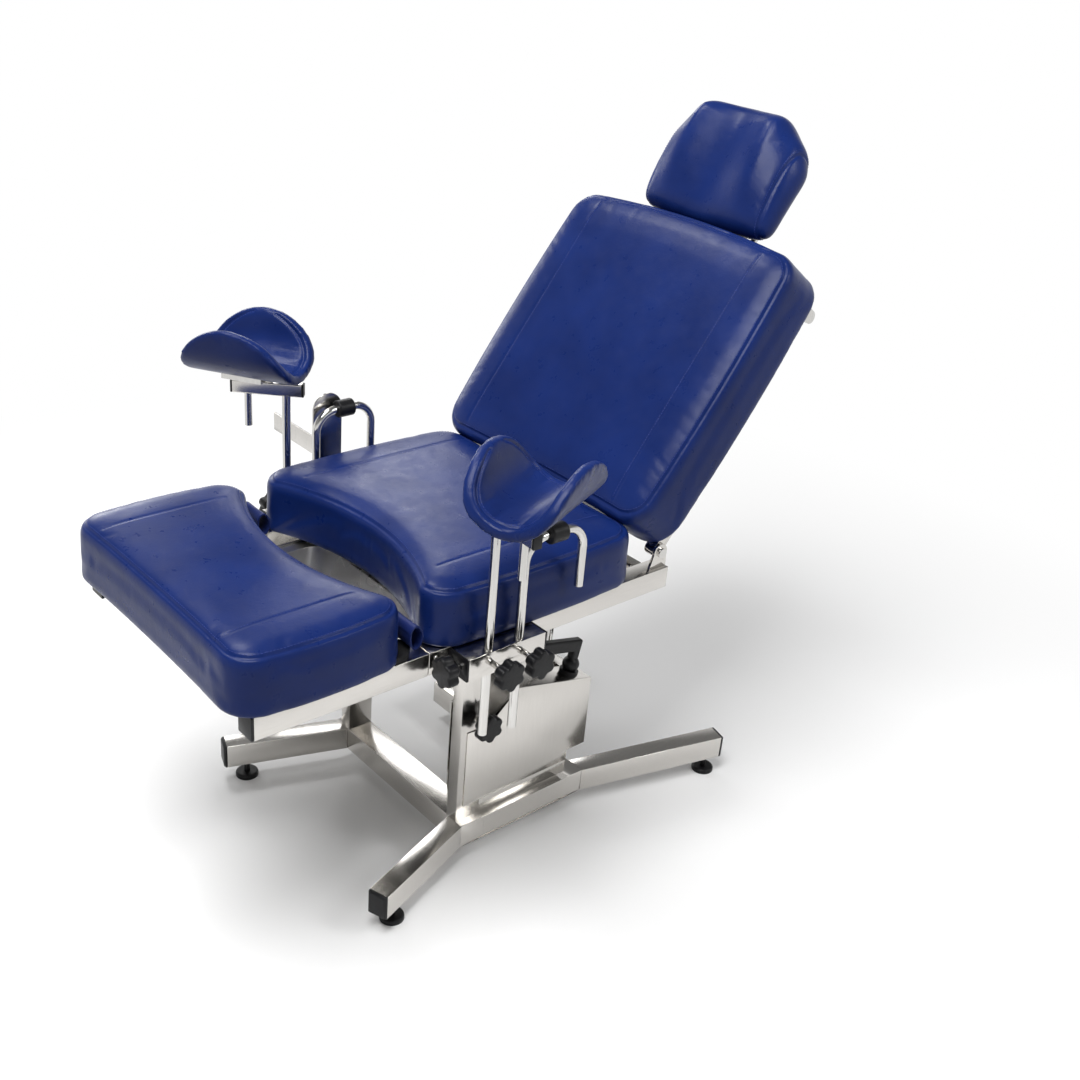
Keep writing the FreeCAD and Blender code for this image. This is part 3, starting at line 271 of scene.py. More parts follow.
def moulded_plastic(name, dark, light, rough_low, rough_high, grit):
    """Black moulded plastic with a fine eroded surface."""
    finish, tree, shader = new_finish(name)
    vector = place_texture(tree)
    tone = noise(tree, vector, scale=60.0, detail=4.0)
    tree.links.new(ramp(tree, tone, (0.3, dark), (0.7, light)), shader.inputs["Base Color"])
    rub = noise(tree, vector, scale=24.0, detail=3.0)
    tree.links.new(span(tree, rub, rough_low, rough_high), shader.inputs["Roughness"])
    eroded = raise_by(tree, noise(tree, vector, scale=grit, detail=3.0), distance=0.0004, strength=0.18)
    tree.links.new(eroded, shader.inputs["Normal"])
    shader.inputs["Specular IOR Level"].default_value = 0.25
    return finish


# darker and lighter tone of each finish, then its smoothest and roughest places
LEATHER = ((0.0042, 0.0140, 0.086), (0.0062, 0.0195, 0.115), 0.26, 0.36)
LOOP_OUTSIDE = ((0.007, 0.014, 0.075), (0.010, 0.021, 0.115), 0.36, 0.46)
LOOP_INSIDE = ((0.004, 0.004, 0.005), (0.007, 0.007, 0.008), 0.45, 0.55)
# thread tones are a lighter blue than the cover: painted highlight for the pale glints along the stitch rows
THREAD_PAINTED_HIGHLIGHT = ((0.016, 0.030, 0.15), (0.030, 0.052, 0.24), 0.50, 0.62)
GROUND_STEEL = ((0.57, 0.55, 0.52), (0.63, 0.61, 0.58), 0.15, 0.24)
# the basin's steel tones are far lighter than the other steel: painted light standing in for the light missing in
# its shade under the cushions
PRESSED_STEEL_PAINTED_LIGHT = ((0.80, 0.79, 0.77), (0.86, 0.85, 0.83), 0.24, 0.34)
ROUND_STEEL = ((0.56, 0.55, 0.53), (0.66, 0.65, 0.63), 0.10, 0.18)
PLASTIC = ((0.004, 0.004, 0.005), (0.008, 0.008, 0.009), 0.34, 0.46)
COATED_BOARD = ((0.006, 0.006, 0.007), (0.011, 0.011, 0.012), 0.50, 0.64)
ENAMEL = ((0.010, 0.010, 0.012), (0.016, 0.016, 0.018), 0.22, 0.32)

blue_leatherette = leatherette("blue_leatherette", *LEATHER)
loop_leatherette = leatherette("loop_leatherette", *LOOP_OUTSIDE)
loop_lining = leatherette("loop_lining", *LOOP_INSIDE)
thread_painted_highlight = moulded_plastic("blue_thread_painted_highlight", *THREAD_PAINTED_HIGHLIGHT, grit=2400.0)
steel_across = brushed_steel("stainless_ground_across", (0.03, 1.0, 1.0), *GROUND_STEEL)
steel_lengthwise = brushed_steel("stainless_ground_lengthwise", (1.0, 0.03, 1.0), *GROUND_STEEL)
steel_upright = brushed_steel("stainless_ground_upright", (1.0, 1.0, 0.03), *GROUND_STEEL)
pressed_steel_painted_light = brushed_steel("stainless_pressed_painted_light", (1.0, 1.0, 0.9), *PRESSED_STEEL_PAINTED_LIGHT)
polished_rod = brushed_steel("polished_round_steel", (1.0, 1.0, 0.05), *ROUND_STEEL)
black_plastic = moulded_plastic("black_moulded_plastic", *PLASTIC, grit=1800.0)
black_board = moulded_plastic("black_coated_board", *COATED_BOARD, grit=900.0)
dark_enamel = moulded_plastic("black_enamelled_cylinder", *ENAMEL, grit=500.0)

finish_of_slot = {
    "stainless_steel": steel_lengthwise,
    "bright_steel": polished_rod,
    "black_plastic": black_plastic,
    "black_board": black_board,
    "dark_cylinder": dark_enamel,
    "blue_leatherette": blue_leatherette,
    "leatherette_loop": loop_leatherette,
}
for node_name, node_object in nodes.items():
    dress(node_object, finish_of_slot[slot_of[node_name]])
# basin dressed in the lightened steel: painted light against the shade under the cushions
dress(nodes["basin"], pressed_steel_painted_light)


# ---------------------------------------------------------------- steel, boards and caps with eased edges

TUBE_EDGE = 0.0022
RAIL_EDGE = 0.0020
SHEET_EDGE = 0.0008
PLATE_EDGE = 0.0010
CAP_EDGE = 0.0012
BOARD_EDGE = 0.0020
HEAD_BOARD_SHARE = 0.90


def eased(node, width, finish, steps=2):
    """Copy of a hard piece whose sharp edges are rounded off."""
    piece = copy_of(node, node + "_eased")
    edit_all(piece)
    bpy.ops.mesh.dissolve_limited(angle_limit=math.radians(0.5))
    leave_edit()
    round_edges(piece, width, steps)
    smooth(piece)
    dress(piece, finish)
    stand_for(piece, node)
    return piece


for node_name in ("base_beams", "seat_cross_members", "leg_cross_bars", "back_members"):
    eased(node_name, TUBE_EDGE, steel_across, 3)
for node_name in ("base_legs", "seat_rails", "leg_rails", "clamp_blocks"):
    eased(node_name, RAIL_EDGE, steel_lengthwise, 3)
for node_name in ("uprights", "back_side_bars"):
    eased(node_name, TUBE_EDGE, steel_upright, 3)
for node_name in ("housing_panels", "housing_cover", "housing_plinth", "basin_runners"):
    eased(node_name, SHEET_EDGE, steel_upright)
for node_name in ("pivot_plates", "back_hinge_plates", "side_bracket", "headrest_guides",
                  "holder_bar_right", "holder_bar_left"):
    eased(node_name, PLATE_EDGE, steel_upright)
for node_name in ("leg_rail_caps", "block_caps", "leg_end_caps",
                  "holder_bar_caps_right", "holder_bar_caps_left"):
    eased(node_name, CAP_EDGE, black_plastic)
for node_name in ("seat_board", "leg_board", "back_board"):
    eased(node_name, BOARD_EDGE, black_board)
head_board = eased("headrest_board", BOARD_EDGE, black_board)
low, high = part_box("headrest_board")
board_middle = head_place @ Matrix.Translation(head_place.inverted() @ ((low + high) / 2))
drawn_in = Matrix.Diagonal((HEAD_BOARD_SHARE, HEAD_BOARD_SHARE, 1.0, 1.0))
head_board.data.transform(board_middle @ drawn_in @ board_middle.inverted())


# ---------------------------------------------------------------- star knobs

KNOB_RADIUS = 0.0275
KNOB_HOLLOW = 0.20
KNOB_HEAD = 0.022
KNOB_HUB = 0.010
KNOB_HUB_RADIUS = 0.011
KNOB_OVERLAP = 0.004
KNOB_LOBES = 6
KNOB_EDGE = 0.0036
KNOB_DISH = 0.0014
HUB_EDGE = 0.0012
SPINDLE_RADIUS = 0.0055
SPINDLE_OVERLAP = 0.003
SPINDLE_EDGE = 0.0006


def pick_faces(piece, test):
    """Edit mode with the faces that pass a test picked."""
    take(piece)
    bpy.ops.object.mode_set(mode="EDIT")
    bpy.ops.mesh.select_mode(type="FACE")
    bpy.ops.mesh.select_all(action="DESELECT")
    bpy.ops.object.mode_set(mode="OBJECT")
    for face in piece.data.polygons:
        face.select = test(face)
    bpy.ops.object.mode_set(mode="EDIT")


def pick_points(piece, test):
    """Edit mode with the points that pass a test picked."""
    take(piece)
    bpy.ops.object.mode_set(mode="EDIT")
    bpy.ops.mesh.select_mode(type="VERT")
    bpy.ops.mesh.select_all(action="DESELECT")
    bpy.ops.object.mode_set(mode="OBJECT")
    for point in piece.data.vertices:
        point.select = test(point)
    bpy.ops.object.mode_set(mode="EDIT")


def knob_pattern():
    """Star knob drawn along +Z, its outer face at Z = 0, with a hub behind it."""
    leave_edit()
    bpy.ops.mesh.primitive_cylinder_add(vertices=40, radius=KNOB_HUB_RADIUS, depth=KNOB_HUB + KNOB_OVERLAP,
                                        location=(0.0, 0.0, -KNOB_HEAD - KNOB_HUB / 2 + KNOB_OVERLAP / 2))
    hub = bpy.context.object
    bpy.ops.object.transform_apply(location=True, rotation=False, scale=False)
    round_edges(hub, HUB_EDGE)
    leave_edit()
    bpy.ops.mesh.primitive_cylinder_add(vertices=120, radius=KNOB_RADIUS, depth=KNOB_HEAD,
                                        location=(0.0, 0.0, -KNOB_HEAD / 2))
    knob = bpy.context.object
    knob.name = "knob_pattern"
    bpy.ops.object.transform_apply(location=True, rotation=False, scale=False)
    for vertex in knob.data.vertices:
        turn = math.atan2(vertex.co.y, vertex.co.x) * KNOB_LOBES
        draw_in = 1 - KNOB_HOLLOW * ((1 + math.cos(turn)) / 2) ** 1.5
        vertex.co.x *= draw_in
        vertex.co.y *= draw_in
    round_edges(knob, KNOB_EDGE, steps=4, degrees=60.0)
    pick_faces(knob, lambda face: face.normal.z > 0.99)
    bpy.ops.mesh.poke(offset=-KNOB_DISH)
    leave_edit()
    take(knob)
    hub.select_set(True)
    bpy.ops.object.join()
    edit_all(knob)
    bpy.ops.mesh.normals_make_consistent(inside=False)
    smooth(knob, 40.0)
    return knob


def moved_copy(pattern, name, place):
    """Copy of a pattern with its own mesh, put in place."""
    piece = bpy.data.objects.new(name, pattern.data.copy())
    scene.collection.objects.link(piece)
    piece.data.transform(place)
    if place.determinant() < 0:
        piece.data.flip_normals()
    return piece


def drop(*patterns):
    """Delete what was only a pattern."""
    leave_edit()
    for pattern in patterns:
        bpy.data.objects.remove(pattern)


knob_joints = {"tilt_knob": "tilt_knob_turn"}
for side_word in ("right", "left"):
    for clamp in ("holder", "grip", "block"):
        knob_joints[clamp + "_knob_" + side_word] = clamp + "_knob_turn_" + side_word
star = knob_pattern()
for node_name, joint_name in knob_joints.items():
    joint = joint_of[joint_name]
    axis = Vector(joint["axis"])
    foot = Vector(joint["pos_m"])
    low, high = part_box(node_name)
    tip = max((low - foot).dot(axis), (high - foot).dot(axis))
    turned = axis.to_track_quat("Z", "Y").to_matrix().to_4x4()
    head = moved_copy(star, node_name + "_head", Matrix.Translation(foot + axis * tip) @ turned)
    dress(head, black_plastic)
    stand_for(head, node_name)
    length = tip - KNOB_HEAD - KNOB_HUB + SPINDLE_OVERLAP
    leave_edit()
    bpy.ops.mesh.primitive_cylinder_add(vertices=40, radius=SPINDLE_RADIUS, depth=length, location=(0.0, 0.0, 0.0))
    spindle = bpy.context.object
    spindle.name = node_name + "_spindle"
    round_edges(spindle, SPINDLE_EDGE, degrees=40.0)
    spindle.data.transform(Matrix.Translation(foot + axis * (length / 2)) @ turned)
    smooth(spindle)
    dress(spindle, polished_rod)
    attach(spindle, nodes[node_name]["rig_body"])
drop(star)


# ---------------------------------------------------------------- socket screws at the joint of the rails

SCREW_RADIUS = 0.0038
SCREW_HEAD = 0.0026
SCREW_OVERLAP = 0.001
SCREW_EDGE = 0.0005
SOCKET_DEPTH = 0.0014
SOCKET_RIM = SCREW_RADIUS * 0.45
RAIL_SIDE_X = 0.276
RAIL_JOINT_Y = 0.042
SCREW_BEHIND_JOINT = 0.014
SCREW_HEIGHTS = (("upper", 0.5445), ("lower", 0.5265))


def screw_pattern():
    """Socket screw head with its outer face towards +X, standing on X = 0."""
    leave_edit()
    bpy.ops.mesh.primitive_cylinder_add(vertices=24, radius=SCREW_RADIUS, depth=SCREW_HEAD + SCREW_OVERLAP,
                                        location=(SCREW_HEAD / 2 - SCREW_OVERLAP / 2, 0.0, 0.0),
                                        rotation=(0.0, math.pi / 2, 0.0))
    screw = bpy.context.object
    bpy.ops.object.transform_apply(location=True, rotation=True, scale=False)
    pick_faces(screw, lambda face: face.normal.x > 0.9)
    bpy.ops.mesh.inset(thickness=SOCKET_RIM)
    bpy.ops.mesh.extrude_region_move(TRANSFORM_OT_translate={"value": (-SOCKET_DEPTH, 0.0, 0.0)})
    leave_edit()
    round_edges(screw, SCREW_EDGE)
    smooth(screw)
    return screw


socket_screw = screw_pattern()
for side_word, side in (("right", 1.0), ("left", -1.0)):
    for row, height in SCREW_HEIGHTS:
        along = RAIL_JOINT_Y + SCREW_BEHIND_JOINT + FEET_LINE_Y
        spot = Matrix.Diagonal((side, 1.0, 1.0, 1.0)) @ Matrix.Translation((RAIL_SIDE_X, along, height))
        screw = moved_copy(socket_screw, "rail_screw_" + row + "_" + side_word, spot)
        dress(screw, polished_rod)
        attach(screw, nodes["seat_rails"]["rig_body"])
drop(socket_screw)


# ---------------------------------------------------------------- padding

EDGE_INSET = 0.012
EDGE_BOW = 0.006
TIGHTEST_TURN = 0.012
SIDE_POINTS, CORNER_POINTS, END_POINTS = 220, 40, 260
PANEL_POINTS = 240
SEAM_DEPTH, SEAM_WIDTH = 0.0026, 0.0034
PANEL_DEPTH, PANEL_WIDTH = 0.0011, 0.0028
PANEL_GAP = 0.012
STITCH_ROW = 0.0052
PANEL_STITCH_ROW = 0.003
STITCH_DROP = 0.0003
STITCH_TAPER = 0.55
PAD_VOXEL = 0.006
PAD_SHRINK = 0.0015
SWELL = 0.0018
SWELL_PRESSURE = 4.0
SWELL_FRAMES = 20
CALM_ROUNDS = 3
HOLD_SHARE = 0.3
HOLD_WIDTH = 0.008
HOLD_HEIGHT = 0.008


def arc_points(a, b, c, count):
    """Points on the circle through three points, from the first to the last."""
    (ax, ay), (bx, by), (cx, cy) = a, b, c
    cross = 2 * (ax * (by - cy) + bx * (cy - ay) + cx * (ay - by))
    if abs(cross) < 1e-9:
        return [(ax + (cx - ax) * k / count, ay + (cy - ay) * k / count) for k in range(count)]
    sa, sb, sc = ax * ax + ay * ay, bx * bx + by * by, cx * cx + cy * cy
    ux = (sa * (by - cy) + sb * (cy - ay) + sc * (ay - by)) / cross
    uy = (sa * (cx - bx) + sb * (ax - cx) + sc * (bx - ax)) / cross
    radius = math.hypot(ax - ux, ay - uy)
    start = math.atan2(ay - uy, ax - ux)
    middle = (math.atan2(by - uy, bx - ux) - start) % (2 * math.pi)
    end = (math.atan2(cy - uy, cx - ux) - start) % (2 * math.pi)
    if middle > end:
        end -= 2 * math.pi
    turns = [start + end * k / count for k in range(count)]
    return [(ux + radius * math.cos(t), uy + radius * math.sin(t)) for t in turns]


def pad_line(half_width, low, high, radius, low_dip, high_dip, inset):
    """Closed line that runs round a cushion's top at an inset from its outline."""
    wide = half_width - inset
    y0 = low + inset
    y1 = high - inset
    turn = max(radius - inset, TIGHTEST_TURN)
    slack = turn * (1 - math.sqrt(0.5))
    mid = (y0 + y1) / 2
    bowed = wide + EDGE_BOW
    points = []
    points += arc_points((wide, y0 + turn), (bowed, mid), (wide, y1 - turn), SIDE_POINTS)
    points += arc_points((wide, y1 - turn), (wide - slack, y1 - slack), (wide - turn, y1), CORNER_POINTS)
    points += arc_points((wide - turn, y1), (0.0, y1 - high_dip), (turn - wide, y1), END_POINTS)
    points += arc_points((turn - wide, y1), (slack - wide, y1 - slack), (-wide, y1 - turn), CORNER_POINTS)
    points += arc_points((-wide, y1 - turn), (-bowed, mid), (-wide, y0 + turn), SIDE_POINTS)
    points += arc_points((-wide, y0 + turn), (slack - wide, y0 + slack), (turn - wide, y0), CORNER_POINTS)
    points += arc_points((turn - wide, y0), (0.0, y0 + low_dip), (wide - turn, y0), END_POINTS)
    points += arc_points((wide - turn, y0), (wide - slack, y0 + slack), (wide, y0 + turn), CORNER_POINTS)
    points.append(points[0])
    return points


def surface(piece):
    """Search tree of a piece's faces."""
    mesh = piece.data
    return BVHTree.FromPolygons([v.co for v in mesh.vertices], [p.vertices for p in mesh.polygons])


def laid_down(tree, place, line, height):
    """A flat line dropped onto a surface along its frame's -Z; gives points and normals."""
    down = -(place.to_3x3() @ Vector((0.0, 0.0, 1.0))).normalized()
    found = []
    for x, y in line:
        hit, normal = tree.ray_cast(place @ Vector((x, y, height)), down)[:2]
        if hit is not None:
            found.append((hit, normal))
    return found


def even_steps(found, pitch):
    """Points at even steps along a laid line, each with its run and normal."""
    steps = []
    travelled = 0.0
    goal = pitch / 2
    for (a, na), (b, nb) in zip(found, found[1:]):
        length = (b - a).length
        while length > 0 and travelled + length >= goal:
            share = (goal - travelled) / length
            steps.append((a.lerp(b, share), (b - a).normalized(), na.lerp(nb, share).normalized()))
            goal += pitch
        travelled += length
    return steps


def line_tree(lines):
    """Search tree of the points of laid lines."""
    points = [hit for line in lines for hit, normal in line]
    tree = KDTree(len(points))
    for index, point in enumerate(points):
        tree.insert(point, index)
    tree.balance()
    return tree


def press_seams(piece, lines, depth, width):
    """Pull the cover in along sewn lines."""
    mesh = piece.data
    tree = line_tree(lines)
    moves = []
    for vertex in mesh.vertices:
        distance = tree.find(vertex.co)[2]
        if distance < 3 * width:
            moves.append((vertex.index, vertex.normal * (-depth * math.exp(-(distance / width) ** 2))))
    for index, move in moves:
        mesh.vertices[index].co += move
    mesh.update()


def stitch_pattern():
    """One stitch along X, rounded at both ends."""
    leave_edit()
    bpy.ops.mesh.primitive_cylinder_add(vertices=6, radius=STITCH_THICKNESS / 2, depth=STITCH_LENGTH * 0.6,
                                        rotation=(0.0, math.pi / 2, 0.0))
    stitch = bpy.context.object
    stitch.name = "stitch_pattern"
    bpy.ops.object.transform_apply(location=False, rotation=True, scale=False)
    for way in (-1, 1):
        pick_faces(stitch, lambda face: face.normal.x * way > 0.9)
        dive = (way * STITCH_LENGTH * 0.2, 0.0, -STITCH_DROP)
        bpy.ops.mesh.extrude_region_move(TRANSFORM_OT_translate={"value": dive})
        bpy.ops.transform.resize(value=(1.0, STITCH_TAPER, STITCH_TAPER))
        leave_edit()
    return stitch


def sew(name, lines, body):
    """Row of stitches along laid lines, as one piece."""
    corners = [Vector(v.co) for v in stitch_model.data.vertices]
    outlines = [tuple(p.vertices) for p in stitch_model.data.polygons]
    points = []
    faces = []
    for line in lines:
        for place, run, normal in even_steps(line, STITCH_PITCH):
            across = normal.cross(run).normalized()
            up = run.cross(across).normalized()
            start = len(points)
            for corner in corners:
                lift = up * (corner.z + STITCH_THICKNESS * 0.2)
                points.append(place + run * corner.x + across * corner.y + lift)
            faces += [tuple(start + index for index in outline) for outline in outlines]
    mesh = bpy.data.meshes.new(name)
    mesh.from_pydata(points, [], faces)
    piece = bpy.data.objects.new(name, mesh)
    scene.collection.objects.link(piece)
    smooth(piece, 60.0)
    # the thread's lighter blue is a painted highlight along the stitch rows
    dress(piece, thread_painted_highlight)
    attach(piece, body)
    return piece


def inflate(piece, held, most):
    """Let the cover swell over its foam, held at its base and seams, by a small distance at most."""
    group = piece.vertex_groups.new(name="held")
    for index, weight in held.items():
        group.add([index], weight, "REPLACE")
    start = [v.co.copy() for v in piece.data.vertices]
    take(piece)
    cloth = piece.modifiers.new("swell", "CLOTH")
    settings = cloth.settings
    settings.quality = 3
    settings.mass = 0.3
    settings.tension_stiffness = 12.0
    settings.compression_stiffness = 12.0
    settings.shear_stiffness = 6.0
    settings.bending_stiffness = 1.5
    settings.use_pressure = True
    settings.uniform_pressure_force = SWELL_PRESSURE
    settings.effector_weights.gravity = 0.0
    settings.vertex_group_mass = "held"
    cloth.collision_settings.use_collision = False
    cloth.point_cache.frame_start = 1
    cloth.point_cache.frame_end = SWELL_FRAMES
    for step in range(1, SWELL_FRAMES + 1):
        scene.frame_set(step)
    bpy.ops.object.modifier_apply(modifier=cloth.name)
    scene.frame_set(1)
    for vertex, before in zip(piece.data.vertices, start):
        move = vertex.co - before
        if move.length > most:
            vertex.co = before + move * (most / move.length)
    piece.vertex_groups.clear()
    use_modifier(piece, "SMOOTH", factor=0.5, iterations=CALM_ROUNDS)


def soft_copy(node, name, voxel, rounds):
    """Even, rounded mesh in the shape of a soft CAD solid."""
    piece = copy_of(node, name)
    take(piece)
    piece.data.remesh_voxel_size = voxel
    piece.data.remesh_voxel_adaptivity = 0.0
    bpy.ops.object.voxel_remesh()
    use_modifier(piece, "SMOOTH", factor=0.5, iterations=rounds)
    return piece


def shrink(piece, share, depth):
    """Draw the cover in by a depth, in full where the share is one."""
    moves = [vertex.normal * (depth * share(vertex.co)) for vertex in piece.data.vertices]
    for vertex, move in zip(piece.data.vertices, moves):
        vertex.co -= move
    piece.data.update()


def step_up(value, low, high):
    """Smooth step from 0 to 1 between two values."""
    share = min(max((value - low) / (high - low), 0.0), 1.0)
    return share * share * (3 - 2 * share)


def lengthen(piece, place, start, end, reach):
    """Draw a cushion out along its frame's Y, from nothing at one place to a full reach at another."""
    back = place.inverted()
    along = (place.to_3x3() @ Vector((0.0, 1.0, 0.0))) * reach
    for vertex in piece.data.vertices:
        share = ((back @ vertex.co).y - start) / (end - start)
        vertex.co += along * step_up(share, 0.0, 1.0)
    piece.data.update()


def near_lines(piece, lines, width):
    """Weights of the points close to laid lines."""
    tree = line_tree(lines)
    weights = {}
    for vertex in piece.data.vertices:
        distance = tree.find(vertex.co)[2]
        if distance < width:
            weights[vertex.index] = 1 - distance / width
    return weights


def plump_cushion(node, name, place, base, edge_line, panel_lines, top, end_reach):
    """Cushion with a sewn edge and lengthwise panel seams, resting on its board."""
    piece = soft_copy(node, name, PAD_VOXEL, rounds=6)
    back = place.inverted()
    shrink(piece, lambda co: step_up((back @ co).z - base, 0.006, 0.030), PAD_SHRINK)
    lengthen(piece, place, *end_reach)
    edge = laid_down(surface(piece), place, edge_line, top)
    held = {i: HOLD_SHARE * w for i, w in near_lines(piece, [edge], HOLD_WIDTH).items()}
    for vertex in piece.data.vertices:
        if (back @ vertex.co).z - base < HOLD_HEIGHT:
            held[vertex.index] = 1.0
    inflate(piece, held, SWELL)
    use_modifier(piece, "SUBSURF", levels=1, render_levels=1)
    tree = surface(piece)
    edge = laid_down(tree, place, edge_line, top)
    panels = [laid_down(tree, place, line, top) for line in panel_lines]
    press_seams(piece, [edge], SEAM_DEPTH, SEAM_WIDTH)
    press_seams(piece, panels, PANEL_DEPTH, PANEL_WIDTH)
    smooth(piece, 180.0)
    dress(piece, blue_leatherette)
    stand_for(piece, node)
    return piece


stitch_model = stitch_pattern()
# node, piece, frame, base, outline (half width, low, high, corner, low dip, high dip), panel seam,
# height its lines are dropped from, and the end drawn out (from, to, reach)
cushions = (
    ("seat_cushion", "seat_padding", seat_place, -0.011, (0.290, 0.046, 0.505, 0.058, 0.060, 0.004), 0.205, 0.2,
     (0.440, 0.505, 0.007)),
    ("leg_cushion", "leg_padding", seat_place, -0.011, (0.290, -0.316, 0.0, 0.058, 0.004, 0.057), 0.205, 0.2,
     (0.0, 1.0, 0.0)),
    ("back_cushion", "back_padding", back_place, -0.097, (0.295, -0.061, 0.511, 0.060, 0.004, -0.012), 0.215, 0.1,
     (0.020, -0.061, -0.008)),
)
for node_name, name, place, base, outline, panel_x, top, end_reach in cushions:
    low, high = outline[1:3]
    low_dip, high_dip = outline[4:]
    edge = pad_line(*outline, EDGE_INSET)
    short = EDGE_INSET + PANEL_GAP
    lowest = low + low_dip * 0.6 + short
    highest = high - max(high_dip, 0.0) * 0.6 - short
    runs = [low + (high - low) * k / PANEL_POINTS for k in range(PANEL_POINTS + 1)]
    panels = [[(side * panel_x, y) for y in runs if lowest < y < highest] for side in (1, -1)]
    cushion = plump_cushion(node_name, name, place, base, edge, panels, top, end_reach)
    tree = surface(cushion)
    row = pad_line(*outline, EDGE_INSET + STITCH_ROW)
    beside = [[(x - math.copysign(PANEL_STITCH_ROW, x), y) for x, y in line] for line in panels]
    sew(name + "_edge_stitches", [laid_down(tree, place, row, top)], nodes[node_name]["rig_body"])
    sew(name + "_panel_stitches", [laid_down(tree, place, line, top) for line in beside],
        nodes[node_name]["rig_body"])


# ---------------------------------------------------------------- headrest

HEAD_SEAM_X = 0.148
HEAD_SEAM_MIDDLE = (0.118, 0.040)
HEAD_SEAM_WIDTH = 0.0040
HEAD_STITCH_ROW = 0.0050
HEAD_CORNER_X = 0.070
HEAD_CORNER_Y = 0.130
HEAD_ROUNDING = 2.6
HEAD_LOBE_X, HEAD_LOBE_WIDTH, HEAD_LOBE_RISE = 0.092, 0.040, 0.005
HEAD_HOLLOW_WIDTH, HEAD_HOLLOW_DEPTH = 0.050, 0.006
HEAD_VOXEL = 0.005
HEAD_SLACK = 0.0015
HEAD_HOLD_HEIGHT = 0.014
head_back = head_place.inverted()


def size_in(place, points):
    """Smallest and largest coordinates of points in a frame."""
    local = [place @ point for point in points]
    low = Vector([min(point[axis] for point in local) for axis in range(3)])
    high = Vector([max(point[axis] for point in local) for axis in range(3)])
    return low, high


def fill_out(piece, node, place, slack):
    """Stretch a rounded piece back to the size of its CAD solid, less a slack on every side."""
    back = place.inverted()
    low, high = size_in(back, [v.co for v in nodes[node].data.vertices])
    now_low, now_high = size_in(back, [v.co for v in piece.data.vertices])
    grow = [(high[k] - low[k] - 2 * slack) / (now_high[k] - now_low[k]) for k in range(3)]
    settle = Matrix.Translation((low + high) / 2) @ Matrix.Diagonal((*grow, 1.0))
    settle = settle @ Matrix.Translation((now_low + now_high) / -2)
    piece.data.transform(place @ settle @ back)


def shape_head(piece):
    """Round the two upper corners and press a neck hollow between two soft lobes."""
    for vertex in piece.data.vertices:
        local = head_back @ vertex.co
        across = abs(local.x) - HEAD_CORNER_X
        upward = local.y - HEAD_CORNER_Y
        if across > 0 and upward > 0:
            reach = math.hypot(across, upward)
            draw_in = (across ** HEAD_ROUNDING + upward ** HEAD_ROUNDING) ** (1 / HEAD_ROUNDING) / reach
            local.x = math.copysign(HEAD_CORNER_X + across * draw_in, local.x)
            local.y = HEAD_CORNER_Y + upward * draw_in
        front = step_up(local.z, 0.030, 0.070) * step_up(local.y, -0.010, 0.090)
        lobe = math.exp(-((abs(local.x) - HEAD_LOBE_X) / HEAD_LOBE_WIDTH) ** 2)
        hollow = math.exp(-(local.x / HEAD_HOLLOW_WIDTH) ** 2)
        local.z += front * (HEAD_LOBE_RISE * lobe - HEAD_HOLLOW_DEPTH * hollow)
        vertex.co = head_place @ local
    piece.data.update()


def head_seams(piece, offset):
    """Lines over the headrest where its side panels are sewn on."""
    tree = surface(piece)
    lines = []
    for side in (1, -1):
        middle = Vector((side * (HEAD_SEAM_X - offset), *HEAD_SEAM_MIDDLE))
        found = []
        for k in range(361):
            turn = math.radians(-60.0 + 300.0 * k / 360)
            out = Vector((0.0, math.cos(turn), math.sin(turn)))
            way = head_place.to_3x3() @ out
            hit, normal = tree.ray_cast(head_place @ (middle + out * 0.3), -way)[:2]
            if hit is not None:
                found.append((hit, normal))
        lines.append(found)
    return lines


head = soft_copy("headrest_cushion", "headrest_padding", HEAD_VOXEL, rounds=40)
shape_head(head)
use_modifier(head, "SMOOTH", factor=0.5, iterations=14)
fill_out(head, "headrest_cushion", head_place, HEAD_SLACK)
lengthen(head, head_place, start=0.060, end=0.0, reach=-0.0055)
held = {i: HOLD_SHARE * w for i, w in near_lines(head, head_seams(head, 0.0), HOLD_WIDTH).items()}
for vertex in head.data.vertices:
    if (head_back @ vertex.co).z < HEAD_HOLD_HEIGHT:
        held[vertex.index] = 1.0
inflate(head, held, SWELL)
use_modifier(head, "SUBSURF", levels=1, render_levels=1)
press_seams(head, head_seams(head, 0.0), SEAM_DEPTH, HEAD_SEAM_WIDTH)
smooth(head, 180.0)
dress(head, blue_leatherette)
stand_for(head, "headrest_cushion")
sew("headrest_stitches", head_seams(head, HEAD_STITCH_ROW), "headrest")


# ---------------------------------------------------------------- leg cradles

CRADLE_VOXEL = 0.004
CRADLE_SWELL = 0.0012
CRADLE_SEAM_INSET = 0.016
CRADLE_STITCH_INSET = 0.021
CRADLE_HOLD_SHARE = 0.4
CRADLE_HOLD_WIDTH = 0.006
RIM_POINTS = 300


def cradle_place(side, swivel, turn, ahead):
    """Frame of a cradle: X across its trough, Y along it, Z up from its foot."""
    place = Matrix.Translation((ROD_X, HOLDER_ROD_Y + FEET_LINE_Y, 0.0))
    place = place @ Matrix.Rotation(math.radians(-swivel), 4, "Z") @ Matrix.Translation((STEM_OFFSET, 0.0, 0.0))
    place = place @ Matrix.Rotation(math.radians(turn), 4, "Z") @ Matrix.Translation((0.0, ahead, CRADLE_FOOT))
    if side < 0:
        place = Matrix.Diagonal((-1.0, 1.0, 1.0, 1.0)) @ place
    return place


